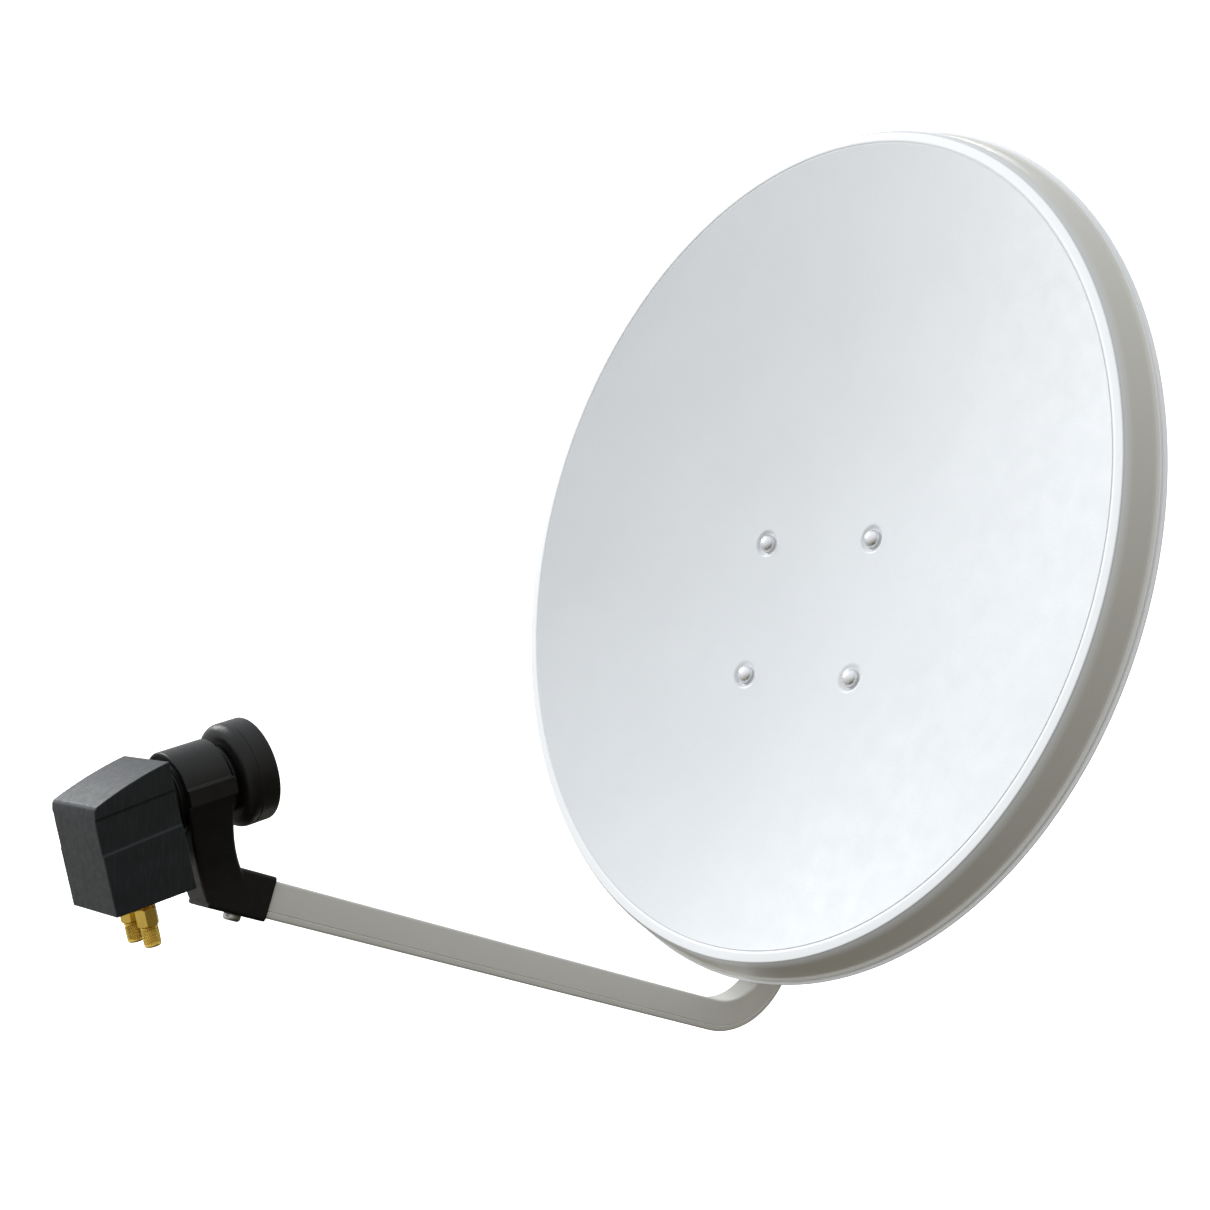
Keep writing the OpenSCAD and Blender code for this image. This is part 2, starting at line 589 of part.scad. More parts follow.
module lnb_board() color("#2f6b3a") in_feed()
    block(-22, 22, head_front - 9.8, head_front - 8.1, base_z + base_t + 1, 12);
module lnb_probes() color(gold) in_feed() {
    for (p = probe_places) block(p[0] - 0.6, p[0] + 0.6, head_front - 8, head_front - 2, p[1] - 0.6, p[1] + 0.6);
}
module port_barrels() color(gold) in_feed() for (s = [-1, 1]) difference() {
    bar_z(port_r, port_end, base_z + base_t + 2, s * port_pitch / 2, port_y);
    bar_z(port_bore, port_end - 1, base_z + base_t + 3, s * port_pitch / 2, port_y);
}
module port_seals() color(black_plastic) in_feed() for (s = [-1, 1]) difference() {
    bar_z(7.2, base_z - 2, base_z, s * port_pitch / 2, port_y);
    bar_z(port_r + 0.02, base_z - 3, base_z + 1, s * port_pitch / 2, port_y);
}
module port_insulator(s) in_feed() difference() {
    bar_z(port_bore - 0.02, port_end + 0.4, base_z, s * port_pitch / 2, port_y);
    bar_z(0.6, port_end, base_z - 8, s * port_pitch / 2, port_y);
}
module port_insulator_blue() color("#2b4f9e") port_insulator(1);
module port_insulator_green() color("#2fae6b") port_insulator(-1);

// ---- Twist-on plugs ----
module plug_nut(s) color(gold) in_feed() translate([s * port_pitch / 2, port_y, 0]) difference() {
    translate([0, 0, nut_low]) cylinder(d = plug_flats / cos(30), h = nut_top - nut_low, $fn = 6);
    bar_z(port_r + 0.09, nut_shoulder, nut_top + 1, 0, 0);
    bar_z(3.9, nut_low - 1, nut_shoulder + 1, 0, 0);
}
module plug_sleeve(s) color(gold) in_feed() translate([s * port_pitch / 2, port_y, 0]) difference() {
    union() {
        bar_z(plug_r, sleeve_low, sleeve_top, 0, 0);
        bar_z(3.8, sleeve_top - eps, nut_shoulder + 0.2, 0, 0);
        bar_z(4.6, nut_shoulder + 0.1, nut_shoulder + 1.1, 0, 0);
    }
    bar_z(cable_r, sleeve_low - 1, sleeve_low + cable_depth, 0, 0);
    bar_z(2.4, sleeve_low, nut_shoulder + 3, 0, 0);
}
module plug_a_nut() plug_nut(1);
module plug_b_nut() plug_nut(-1);
module plug_a_sleeve() plug_sleeve(1);
module plug_b_sleeve() plug_sleeve(-1);

mast_channel();
mast_saddles();
clamp_bolts();
pivot_bolts();
pivot_washers();
pivot_nuts();
lock_bolts();
lock_washers();
wing_nut_left();
wing_nut_right();
upper_jaw();
upper_jaw_nuts();
lower_jaw();
lower_jaw_nuts();
reflector();
reflector_bolts();
reflector_spacers();
reflector_washers();
reflector_nuts();
dish_bracket();
arm_socket();
arm_bolts();
arm_nuts();
feed_arm();
arm_end_cap();
lnb_holder();
holder_bolt();
holder_nut();
holder_cap();
lnb_housing();
lnb_base();
lnb_neck();
feed_cap();
feed_lens();
lnb_waveguide();
lnb_board();
lnb_probes();
port_barrels();
port_seals();
port_insulator_blue();
port_insulator_green();
plug_a_sleeve();
plug_a_nut();
plug_b_sleeve();
plug_b_nut();
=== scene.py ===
import json
import math

import bmesh
import bpy
import numpy as np
from mathutils import Matrix, Vector


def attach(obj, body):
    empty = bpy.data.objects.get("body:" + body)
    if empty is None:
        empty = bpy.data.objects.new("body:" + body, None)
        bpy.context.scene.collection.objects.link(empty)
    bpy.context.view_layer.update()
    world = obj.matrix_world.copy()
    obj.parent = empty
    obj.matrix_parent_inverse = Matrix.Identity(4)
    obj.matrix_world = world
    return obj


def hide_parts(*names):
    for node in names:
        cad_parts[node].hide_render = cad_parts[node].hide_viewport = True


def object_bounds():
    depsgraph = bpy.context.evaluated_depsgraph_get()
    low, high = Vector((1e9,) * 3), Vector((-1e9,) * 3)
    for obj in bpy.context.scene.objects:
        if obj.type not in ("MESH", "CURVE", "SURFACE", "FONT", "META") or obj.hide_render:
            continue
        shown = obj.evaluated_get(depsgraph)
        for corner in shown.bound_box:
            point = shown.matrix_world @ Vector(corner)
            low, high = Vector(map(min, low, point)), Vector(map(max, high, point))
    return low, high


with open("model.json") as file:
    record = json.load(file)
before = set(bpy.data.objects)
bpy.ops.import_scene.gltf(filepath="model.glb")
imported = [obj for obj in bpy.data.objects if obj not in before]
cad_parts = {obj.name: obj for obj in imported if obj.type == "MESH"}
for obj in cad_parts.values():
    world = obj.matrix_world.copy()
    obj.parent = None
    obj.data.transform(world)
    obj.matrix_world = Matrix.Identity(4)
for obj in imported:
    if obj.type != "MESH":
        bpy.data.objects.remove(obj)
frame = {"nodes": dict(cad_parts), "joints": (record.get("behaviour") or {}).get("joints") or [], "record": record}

CAD_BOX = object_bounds()
MM = 0.001
TAU = 2 * math.pi

# Frames. Places of frames are in metres, and sizes on the object in millimetres. The feed head's
# frame comes from its skew joint, and the dish's from the middle of its rim.
JOINTS = {j["name"]: j for j in frame["joints"]}
OFFSET_ANGLE = math.radians(25.7)
FEED_AXIS = Vector(JOINTS["feed_skew"]["axis"]).normalized()
DISH_TILT = OFFSET_ANGLE - math.asin(FEED_AXIS.z)
RIM_CENTRE = Vector((0, -0.154, 0.061))
HALF_W = 278.0
HALF_H = HALF_W / math.cos(OFFSET_ANGLE)
RIM_DEPTH = 30.0


def frame_at(origin, y_axis):
    """Frame in millimetres, with X across the object and Y along y_axis."""
    x = Vector((1, 0, 0))
    y = Vector(y_axis).normalized()
    m = Matrix((x, y, x.cross(y))).transposed().to_4x4()
    m.translation = Vector(origin)
    return m @ Matrix.Scale(MM, 4)


WORLD = Matrix.Scale(MM, 4)
DISH = frame_at(RIM_CENTRE, (0, math.cos(DISH_TILT), -math.sin(DISH_TILT)))
FEED = frame_at(JOINTS["feed_skew"]["pos_m"], FEED_AXIS)
ALONG_Y = Matrix(((1, 0, 0, 0), (0, 0, 1, 0), (0, -1, 0, 0), (0, 0, 0, 1)))
ALONG_X = Matrix(((0, 0, 1, 0), (0, 1, 0, 0), (-1, 0, 0, 0), (0, 0, 0, 1)))


# ---------------------------------------------------------------- camera
# Fitted to the rim, the flange's lowest point and the line of the arm. Metres, apart from the lens.
CAMERA_AZIMUTH = math.radians(48.554)
CAMERA_ELEVATION = math.radians(-0.42)
CAMERA_DISTANCE = 1.2789
CAMERA_LEFT, CAMERA_DOWN = 0.13267, 0.05314
SENSOR_MM, LENS_MM = 36.0, 50.5785


def make_camera():
    level = math.cos(CAMERA_ELEVATION)
    back = Vector((math.sin(CAMERA_AZIMUTH) * level, -math.cos(CAMERA_AZIMUTH) * level,
                   math.sin(CAMERA_ELEVATION)))
    right = Vector((math.cos(CAMERA_AZIMUTH), math.sin(CAMERA_AZIMUTH), 0))
    up = back.cross(right)
    data = bpy.data.cameras.new("camera")
    data.sensor_width = SENSOR_MM
    data.lens = LENS_MM
    data.clip_start, data.clip_end = 0.05, 60
    camera = bpy.data.objects.new("camera", data)
    m = Matrix((right, up, back)).transposed().to_4x4()
    m.translation = RIM_CENTRE + CAMERA_DISTANCE * back - CAMERA_LEFT * right - CAMERA_DOWN * up
    camera.matrix_world = m
    bpy.context.scene.collection.objects.link(camera)
    bpy.context.scene.camera = camera


# ---------------------------------------------------------------- materials
# Painted light on the rim, as multiples of the bowl's outline: the lip, which takes a painted highlight, and where
# the shoulder's fade into the skirt's painted shade starts.
LIP_LOW, LIP_HIGH = 1.003, 1.026
SHOULDER_LOW, SHOULDER_FADE = 1.029, 0.014
PAST_FLANGE = 1.2
# How far the hem, which is the bead and the flange, reaches ahead of the rim's rear; the hem takes the lip's
# painted highlight
HEM_REACH = 5.0


def fill_ramp(ramp, stops):
    """Sets a colour ramp from (place, colour) pairs."""
    while len(ramp.elements) < len(stops):
        ramp.elements.new(0.5)
    for element, (place, colour) in zip(ramp.elements, stops):
        element.position = place
        element.color = (*colour, 1)


class Nodes:
    """Short names for the few shader nodes that the materials use. Places are in metres."""

    def __init__(self, name, colour, roughness, metallic=0.0, **sockets):
        self.material = bpy.data.materials.new(name)
        self.material.use_nodes = True
        self.tree = self.material.node_tree
        self.tree.nodes.clear()
        out = self.tree.nodes.new("ShaderNodeOutputMaterial")
        self.shader = self.tree.nodes.new("ShaderNodeBsdfPrincipled")
        self.link(self.shader.outputs["BSDF"], out.inputs["Surface"])
        self.shader.inputs["Base Color"].default_value = (*colour, 1)
        self.shader.inputs["Roughness"].default_value = roughness
        self.shader.inputs["Metallic"].default_value = metallic
        for key, value in sockets.items():
            self.shader.inputs[key.replace("_", " ")].default_value = value
        self.place = self.tree.nodes.new("ShaderNodeTexCoord").outputs["Object"]
        self.last_bump = None

    def link(self, a, b):
        self.tree.links.new(a, b)

    def stretched(self, scale, turn=(0, 0, 0)):
        """Place, scaled by an amount for each axis after a turn."""
        mapping = self.tree.nodes.new("ShaderNodeMapping")
        mapping.inputs["Scale"].default_value = scale
        mapping.inputs["Rotation"].default_value = turn
        self.link(self.place, mapping.inputs["Vector"])
        return mapping.outputs["Vector"]

    def noise(self, scale, detail=3, rough=0.55, vector=None):
        """Cloudy value around 0.5, with about scale patches to the metre."""
        node = self.tree.nodes.new("ShaderNodeTexNoise")
        node.inputs["Scale"].default_value = scale
        node.inputs["Detail"].default_value = detail
        node.inputs["Roughness"].default_value = rough
        self.link(vector or self.place, node.inputs["Vector"])
        return node.outputs["Fac"]

    def spread(self, value, low, high, to_low, to_high):
        """Value moved from the first range to the second, and held at its ends."""
        node = self.tree.nodes.new("ShaderNodeMapRange")
        node.inputs["From Min"].default_value = low
        node.inputs["From Max"].default_value = high
        node.inputs["To Min"].default_value = to_low
        node.inputs["To Max"].default_value = to_high
        self.link(value, node.inputs["Value"])
        return node.outputs["Result"]

    def ramp(self, value, stops):
        """Colour from a value, by (place, colour) stops."""
        node = self.tree.nodes.new("ShaderNodeValToRGB")
        fill_ramp(node.color_ramp, stops)
        self.link(value, node.inputs["Fac"])
        return node.outputs["Color"]

    def mix(self, value, a, b):
        """Colour a where the value is 0 and b where it is 1; each is a constant or a socket."""
        node = self.tree.nodes.new("ShaderNodeMix")
        node.data_type = "RGBA"
        self.link(value, node.inputs["Factor"])
        for socket, x in ((node.inputs["A"], a), (node.inputs["B"], b)):
            if isinstance(x, tuple):
                socket.default_value = (*x, 1)
            else:
                self.link(x, socket)
        return node.outputs["Result"]

    def in_dish(self):
        """Place in the dish's frame: its outline at length 1 in X and Z, metres behind the rim in Y."""
        mapping = self.tree.nodes.new("ShaderNodeMapping")
        mapping.vector_type = "TEXTURE"
        mapping.inputs["Location"].default_value = RIM_CENTRE
        mapping.inputs["Rotation"].default_value = (-DISH_TILT, 0, 0)
        mapping.inputs["Scale"].default_value = (HALF_W * MM, 1, HALF_H * MM)
        self.link(self.place, mapping.inputs["Vector"])
        return mapping.outputs["Vector"]

    def ring_mask(self, low, high, fade=0.002):
        """1 on the reflector's rim, between two multiples of the bowl's outline, faded in over a width."""
        flat = self.tree.nodes.new("ShaderNodeVectorMath")
        flat.operation = "MULTIPLY"
        flat.inputs[1].default_value = (1, 0, 1)
        self.link(self.in_dish(), flat.inputs[0])
        length = self.tree.nodes.new("ShaderNodeVectorMath")
        length.operation = "LENGTH"
        self.link(flat.outputs["Vector"], length.inputs[0])
        inner = self.spread(length.outputs["Value"], low, low + fade, 0, 1)
        outer = self.spread(length.outputs["Value"], high, high + 0.003, 1, 0)
        both = self.tree.nodes.new("ShaderNodeMath")
        both.operation = "MULTIPLY"
        self.link(inner, both.inputs[0])
        self.link(outer, both.inputs[1])
        return both.outputs["Value"]

    def hem_mask(self, depth):
        """1 on the reflector's bead and flange, from a depth in millimetres behind the rim."""
        parts = self.tree.nodes.new("ShaderNodeSeparateXYZ")
        self.link(self.in_dish(), parts.inputs["Vector"])
        return self.spread(parts.outputs["Y"], depth * MM, (depth + 0.4) * MM, 0, 1)

    def edges(self, low, high):
        """0 to 1 from flat faces to sharp outer edges."""
        geometry = self.tree.nodes.new("ShaderNodeNewGeometry")
        return self.spread(geometry.outputs["Pointiness"], low, high, 0, 1)

    def base(self, colour):
        self.link(colour, self.shader.inputs["Base Color"])

    def rough(self, value):
        self.link(value, self.shader.inputs["Roughness"])

    def bump(self, height, strength, distance):
        """Adds one layer of relief on top of the layers before it; distance is in metres."""
        node = self.tree.nodes.new("ShaderNodeBump")
        node.inputs["Strength"].default_value = strength
        node.inputs["Distance"].default_value = distance
        self.link(height, node.inputs["Height"])
        if self.last_bump:
            self.link(self.last_bump, node.inputs["Normal"])
        self.last_bump = node.outputs["Normal"]
        self.link(self.last_bump, self.shader.inputs["Normal"])


def scaled(colour, k):
    """Colour made lighter or darker, held at white."""
    return tuple(min(1, c * k) for c in colour)


def painted(name, colour, roughness, peel, lip=None, skirt=None):
    """Powder coat: faint clouding, orange peel, painted highlight on sharp edges, painted highlight on lip and
    hem, painted shade on skirt.
    """
    n = Nodes(name, colour, roughness, Coat_Weight=0.14, Coat_Roughness=0.24, Specular_IOR_Level=0.45)
    cloud = n.ramp(n.noise(5.5, 4), [(0.3, scaled(colour, 0.965)), (0.7, scaled(colour, 1.02))])
    dust = n.spread(n.noise(38, 6, 0.7), 0.55, 0.8, 0, 0.10)
    dusted = n.mix(dust, cloud, scaled(colour, 0.86))
    # Sharp edges are painted lighter: a painted highlight where rounded edges catch the light
    dust_and_painted_light = n.mix(n.spread(n.edges(0.53, 0.62), 0, 1, 0, 0.35), dusted, scaled(colour, 1.12))
    if lip:
        # Painted shade on the skirt as a darker, warmer tone, and the lip's painted highlight on the bead and
        # flange
        side = n.mix(n.hem_mask(RIM_DEPTH - HEM_REACH), skirt, lip)
        dust_and_painted_light = n.mix(n.ring_mask(SHOULDER_LOW, PAST_FLANGE, SHOULDER_FADE), dust_and_painted_light, side)
        # Painted highlight: the lip in a lighter white
        dust_and_painted_light = n.mix(n.ring_mask(LIP_LOW, LIP_HIGH), dust_and_painted_light, lip)
    n.base(dust_and_painted_light)
    n.rough(n.spread(n.noise(60, 5, 0.65), 0.3, 0.7, roughness - 0.05, roughness + 0.09))
    n.bump(n.noise(620, 2, 0.5), peel, 0.0004)
    n.bump(n.noise(2600, 2, 0.5), peel * 0.35, 0.0001)
    return n.material


def plated(name, colour, roughness, grain):
    """Zinc plate: patchy grey, fine drawn lines and small scratches."""
    n = Nodes(name, colour, roughness, 1.0)
    tones = [(0.3, scaled(colour, 0.88)), (0.55, colour), (0.75, scaled(colour, 1.06))]
    patches = n.ramp(n.noise(46, 5, 0.6), tones)
    stains = n.spread(n.noise(140, 6, 0.75), 0.58, 0.75, 0, 0.35)
    n.base(n.mix(stains, patches, scaled(colour, 0.7)))
    lines = n.noise(1.0, 3, 0.6, n.stretched((2400, 2400, 60)))
    n.rough(n.spread(n.noise(190, 6, 0.7), 0.25, 0.75, roughness - 0.1, roughness + 0.14))
    n.bump(lines, grain, 0.00006)
    n.bump(n.noise(900, 4, 0.6), grain, 0.00008)
    return n.material


def moulded(name, colour, roughness, grain, streaks=None):
    """Moulded plastic: fine spark-eroded grain, lighter colour on sharp edges as a painted highlight, optional
    flow streaks.
    """
    n = Nodes(name, colour, roughness, Specular_IOR_Level=0.32)
    tone = n.ramp(n.noise(70, 5, 0.65), [(0.3, scaled(colour, 0.8)), (0.7, scaled(colour, 1.3))])
    if streaks:
        flow = n.noise(1.0, 5, 0.7, n.stretched(*streaks))
        tone = n.mix(n.spread(flow, 0.48, 0.72, 0, 0.75), tone, scaled(colour, 2.1))
    # Sharp edges are painted much lighter: a painted highlight on the edges
    n.base(n.mix(n.spread(n.edges(0.52, 0.6), 0, 1, 0, 0.5), tone, scaled(colour, 2.6)))
    n.rough(n.spread(n.noise(240, 5, 0.7), 0.3, 0.7, roughness - 0.07, roughness + 0.1))
    n.bump(n.noise(2100, 3, 0.6), grain, 0.00012)
    n.bump(n.noise(420, 3, 0.6), grain * 0.4, 0.0002)
    return n.material


def gilded(name, colour, roughness):
    """Gold-coloured plating: warm colour shifts, fine turning marks, a few dull spots."""
    n = Nodes(name, colour, roughness, 1.0)
    warm = n.ramp(n.noise(160, 4, 0.6), [(0.3, scaled(colour, 0.86)), (0.7, scaled(colour, 1.08))])
    n.base(n.mix(n.spread(n.noise(500, 6, 0.7), 0.62, 0.85, 0, 0.25), warm, (0.55, 0.33, 0.10)))
    n.rough(n.spread(n.noise(600, 5, 0.7), 0.3, 0.7, roughness - 0.05, roughness + 0.08))
    n.bump(n.noise(1800, 3, 0.6), 0.12, 0.00003)
    return n.material


def glossy(name, colour, roughness, **sockets):
    """Smooth moulded plastic or rubber with faint mottling and handling marks."""
    n = Nodes(name, colour, roughness, **sockets)
    n.base(n.ramp(n.noise(90, 4), [(0.3, scaled(colour, 0.93)), (0.7, scaled(colour, 1.04))]))
    n.rough(n.spread(n.noise(300, 5, 0.7), 0.3, 0.7, roughness - 0.04, roughness + 0.1))
    n.bump(n.noise(1300, 3), 0.15, 0.0001)
    return n.material


MATERIALS = {
    # The lip colour is a painted highlight on the lip, bead and flange; the skirt colour is painted shade on the
    # skirt
    "white_paint": painted("white_powder_coat", (0.715, 0.735, 0.755), 0.38, 0.10,
                           lip=(0.90, 0.91, 0.92), skirt=(0.71, 0.70, 0.655)),
    "grey_paint": painted("grey_powder_coat", (0.78, 0.77, 0.735), 0.42, 0.16),
    "zinc": plated("zinc_plate", (0.60, 0.61, 0.62), 0.36, 0.25),
    "bright_zinc": plated("bright_zinc_plate", (0.80, 0.80, 0.81), 0.24, 0.12),
    "black_plastic": moulded("black_plastic", (0.0085, 0.0082, 0.0080), 0.38, 0.30),
    "slate_plastic": moulded("slate_plastic", (0.014, 0.0175, 0.0205), 0.46, 0.35,
                             streaks=((150, 900, 90), (0.5, 0.9, 0))),
    "gold": gilded("gold_plate", (0.86, 0.56, 0.13), 0.20),
    "bright_gold": gilded("bright_gold_plate", (1.0, 0.68, 0.15), 0.27),
    "lens_plastic": glossy("lens_plastic", (0.92, 0.94, 0.94), 0.30,
                           Subsurface_Weight=0.15, Subsurface_Scale=0.004),
    "blue_plastic": glossy("blue_insulator", (0.02, 0.07, 0.30), 0.35),
    "green_plastic": glossy("green_insulator", (0.02, 0.42, 0.16), 0.35),
    "cast_metal": plated("cast_metal", (0.66, 0.67, 0.68), 0.48, 0.5),
    "board": glossy("solder_mask", (0.015, 0.12, 0.05), 0.35),
    "seal_rubber": glossy("seal_rubber", (0.012, 0.012, 0.012), 0.7),
}


# ---------------------------------------------------------------- shapes: (points, faces) in millimetres
def joined(*shapes):
    """Several shapes as one."""
    points, faces = [], []
    for more_points, more_faces in shapes:
        start = len(points)
        points.extend(more_points)
        faces.extend(tuple(start + i for i in f) for f in more_faces)
    return points, faces


def moved(shape, matrix):
    """The shape in another frame."""
    return [tuple(matrix @ Vector(p)) for p in shape[0]], shape[1]


def loft(rings, closed=False):
    """Skin over rows of points, each a closed loop; the ends are capped unless the rows form a ring."""
    n = len(rings[0])
    points = [tuple(p) for r in rings for p in r]
    faces = []
    rows = len(rings) if closed else len(rings) - 1
    for i in range(rows):
        a, b = i * n, ((i + 1) % len(rings)) * n
        faces.extend((a + j, a + (j + 1) % n, b + (j + 1) % n, b + j) for j in range(n))
    if not closed:
        faces.append(tuple(range(n - 1, -1, -1)))
        faces.append(tuple(range((len(rings) - 1) * n, len(rings) * n)))
    return points, faces


def polar(r, a, z):
    """Point at a radius and angle round Z."""
    return r * math.cos(a), r * math.sin(a), z


def circle(r, z, n):
    """Row of n points round Z."""
    return [polar(r, TAU * k / n, z) for k in range(n)]


def turned(profile, n=96, closed=False):
    """Solid turned about Z from (radius, z) points; closed joins the last point to the first."""
    return loft([circle(r, z, n) for r, z in profile], closed)


def arc(centre, radius, start, end, steps):
    """Points on an arc, angles in degrees."""
    out = []
    for k in range(steps + 1):
        a = math.radians(start + (end - start) * k / steps)
        out.append((centre[0] + radius * math.cos(a), centre[1] + radius * math.sin(a)))
    return out


def rounded_rectangle(w, h, r, steps=5):
    """Outline about the origin, from its right side round by the top."""
    x, y = w / 2 - r, h / 2 - r
    return (arc((x, y), r, 0, 90, steps) + arc((-x, y), r, 90, 180, steps)
            + arc((-x, -y), r, 180, 270, steps) + arc((x, -y), r, 270, 360, steps))


# Threads, in pitches: depth, and the flat at crest and root. Then the rows along each pitch.
THREAD_DEPTH = 0.61
THREAD_LAND = 0.08
THREAD_STEPS = 6
ROD_CHAMFER = 0.9
ROD_POINTS = 36


def threaded_rod(radius, start, end, pitch, turns_from=None):
    """Rod along Z, plain up to turns_from and threaded from there on, with a chamfered end."""
    turns_from = start if turns_from is None else turns_from
    zs = [start, turns_from] if turns_from > start + 0.01 else [start]
    step = pitch / THREAD_STEPS
    zs += [turns_from + step * (k + 1) for k in range(int((end - turns_from) / step))]
    rings = []
    for z in zs:
        chamfer = max(0.0, z - (end - ROD_CHAMFER))
        ring = []
        for k in range(ROD_POINTS):
            r = radius
            if z > turns_from:
                wave = abs(((z / pitch - k / ROD_POINTS) % 1) * 2 - 1)
                groove = min(1, max(0, (wave - THREAD_LAND) / (1 - 2 * THREAD_LAND)))
                r = radius - THREAD_DEPTH * pitch * groove * min(1, (z - turns_from) / pitch)
            ring.append(polar(min(r, radius - chamfer), TAU * k / ROD_POINTS, z))
        rings.append(ring)
    rings.append([(x * 0.98, y * 0.98, end) for x, y, z in rings[-1]])
    return loft(rings)


# Chamfered hexagons: the chamfer's slope, the round edge of the face over the width across the
# flats, the small edge of a plain end, and the chamfer of the bore
HEX_SLOPE, HEX_FACE, HEX_EDGE, HEX_BORE_EDGE = 0.62, 0.487, 0.25, 0.6
HEX_POINTS = 72


def hex_ring(flats, z, most):
    """Row of points on a hexagon, held within a circle."""
    ring = []
    for k in range(HEX_POINTS):
        a = TAU * k / HEX_POINTS
        off = (a + math.pi / 6) % (math.pi / 3) - math.pi / 6
        ring.append(polar(min(flats / 2 / math.cos(off), most), a, z))
    return ring


def hex_block(flats, start, end, bore=0.0, both=True):
    """Chamfered hexagon along Z, with a chamfered bore if it has one."""
    corner = flats / math.sqrt(3)
    face = flats * HEX_FACE
    drop = (corner - flats / 2) * HEX_SLOPE
    z0, z1 = start + (drop if both else HEX_EDGE), end - drop

    def chamfer(flat_z, end_z, t):
        return hex_ring(flats, flat_z + (end_z - flat_z) * t, corner - (corner - flats / 2) * t)

    rings = [hex_ring(flats, start, face if both else corner - HEX_EDGE)]
    rings += [chamfer(z0, start, t) for t in ((0.66, 0.33) if both else ())]
    rings += [hex_ring(flats, z0, corner), hex_ring(flats, z1, corner)]
    rings += [chamfer(z1, end, t) for t in (0.33, 0.66)]
    rings.append(hex_ring(flats, end, face))
    if not bore:
        return loft(rings)
    wide = bore + HEX_BORE_EDGE
    inner = [(wide, end), (bore, end - HEX_BORE_EDGE), (bore, start + HEX_BORE_EDGE), (wide, start)]
    rings += [circle(r, z, HEX_POINTS) for r, z in inner]
    return loft(rings, closed=True)


def washer(r_in, r_out, start, end, edge=0.22):
    """Flat ring along Z with chamfered edges."""
    below = [(r_in, start + edge), (r_in + edge, start), (r_out - edge, start), (r_out, start + edge)]
    above = [(r_out, end - edge), (r_out - edge, end), (r_in + edge, end), (r_in, end - edge)]
    return turned(below + above, 64, closed=True)


# ---------------------------------------------------------------- pieces
def dress(obj, body, slot, node, finish=None):
    """Puts a piece on its body, in place of a CAD node; finish is a look other than the slot's own."""
    obj.data.materials.clear()
    obj.data.materials.append(MATERIALS[finish or slot])
    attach(obj, body)
    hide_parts(node)


def link_mesh(name, mesh):
    obj = bpy.data.objects.new(name, mesh)
    bpy.context.scene.collection.objects.link(obj)
    return obj


def tidy_mesh(mesh, smooth_angle):
    """Merges points in one place, turns faces outward and shades edges below the angle as smooth."""
    work = bmesh.new()
    work.from_mesh(mesh)
    bmesh.ops.remove_doubles(work, verts=work.verts, dist=1e-7)
    bmesh.ops.recalc_face_normals(work, faces=work.faces)
    limit = math.radians(smooth_angle)
    for f in work.faces:
        f.smooth = True
    for e in work.edges:
        e.smooth = len(e.link_faces) == 2 and e.calc_face_angle(0) < limit
    work.to_mesh(mesh)
    work.free()


def build(name, shape, matrix, smooth_angle=35):
    """Object from a shape in one of the frames."""
    mesh = bpy.data.meshes.new(name)
    points, faces = moved(shape, matrix)
    mesh.from_pydata(points, [], faces)
    mesh.validate()
    tidy_mesh(mesh, smooth_angle)
    return link_mesh(name, mesh)


def apply_modifiers(obj):
    graph = bpy.context.evaluated_depsgraph_get()
    mesh = bpy.data.meshes.new_from_object(obj.evaluated_get(graph))
    old = obj.data
    obj.modifiers.clear()
    obj.data = mesh
    bpy.data.meshes.remove(old)


def refined(node, body, slot, width, segments=2):
    """A CAD node's own shape with its edges rounded, as pressed or cast metal has."""
    mesh = frame["nodes"][node].data.copy()
    mesh.name = node + "_rounded"
    work = bmesh.new()
    work.from_mesh(mesh)
    bmesh.ops.remove_doubles(work, verts=work.verts, dist=1e-6)
    bmesh.ops.dissolve_limit(work, angle_limit=math.radians(1.5), verts=work.verts, edges=work.edges)
    work.to_mesh(mesh)
    work.free()
    obj = link_mesh(node + "_rounded", mesh)
    bevel = obj.modifiers.new("edges", "BEVEL")
    bevel.width = width * MM
    bevel.segments = segments
    bevel.limit_method = "ANGLE"
    bevel.angle_limit = math.radians(40)
    bevel.use_clamp_overlap = True
    apply_modifiers(obj)
    tidy_mesh(obj.data, 32)
    dress(obj, body, slot, node)


def boolean(obj, others, kind):
    """Adds the other objects to the first or cuts them from it, and removes them."""
    for other in others:
        cut = obj.modifiers.new(kind, "BOOLEAN")
        cut.operation = kind
        cut.solver = "EXACT"
        cut.object = other
        apply_modifiers(obj)
        bpy.data.objects.remove(other)


def remoulded(obj, voxel, rounds):
    """Joins overlapping closed skins into one and rounds its edges, as a moulded piece has."""
    remesh = obj.modifiers.new("skin", "REMESH")
    remesh.mode = "VOXEL"
    remesh.voxel_size = voxel * MM
    remesh.use_smooth_shade = True
    smooth = obj.modifiers.new("soften", "SMOOTH")
    smooth.factor = 0.5
    smooth.iterations = rounds
    apply_modifiers(obj)
    for f in obj.data.polygons:
        f.use_smooth = True


def slab(outline, half):
    """Solid with an outline in Y and Z, reaching half to each side."""
    return loft([[(x, y, z) for y, z in outline] for x in (-half, half)])


# ---------------------------------------------------------------- reflector
FOCAL = 406.0
BOWL = HALF_W ** 2 / (4 * FOCAL)
SHEET = 1.1
DIMPLE = 1.6
DIMPLE_FLAT, DIMPLE_OUT = 8.3, 10.6
BOLT_REACH, BOLT_CENTRE = 53.0, -48.0
BOLTS = [(sx * BOLT_REACH, BOLT_CENTRE + sz * BOLT_REACH) for sx in (-1, 1) for sz in (-1, 1)]
# Points around the reflector, and its steps outward: fine where the bolts' dimples are
AROUND = 384
FINE_STEP, COARSE_STEP = 0.9, 5.0
FINE_LOW, FINE_HIGH = 42, 104


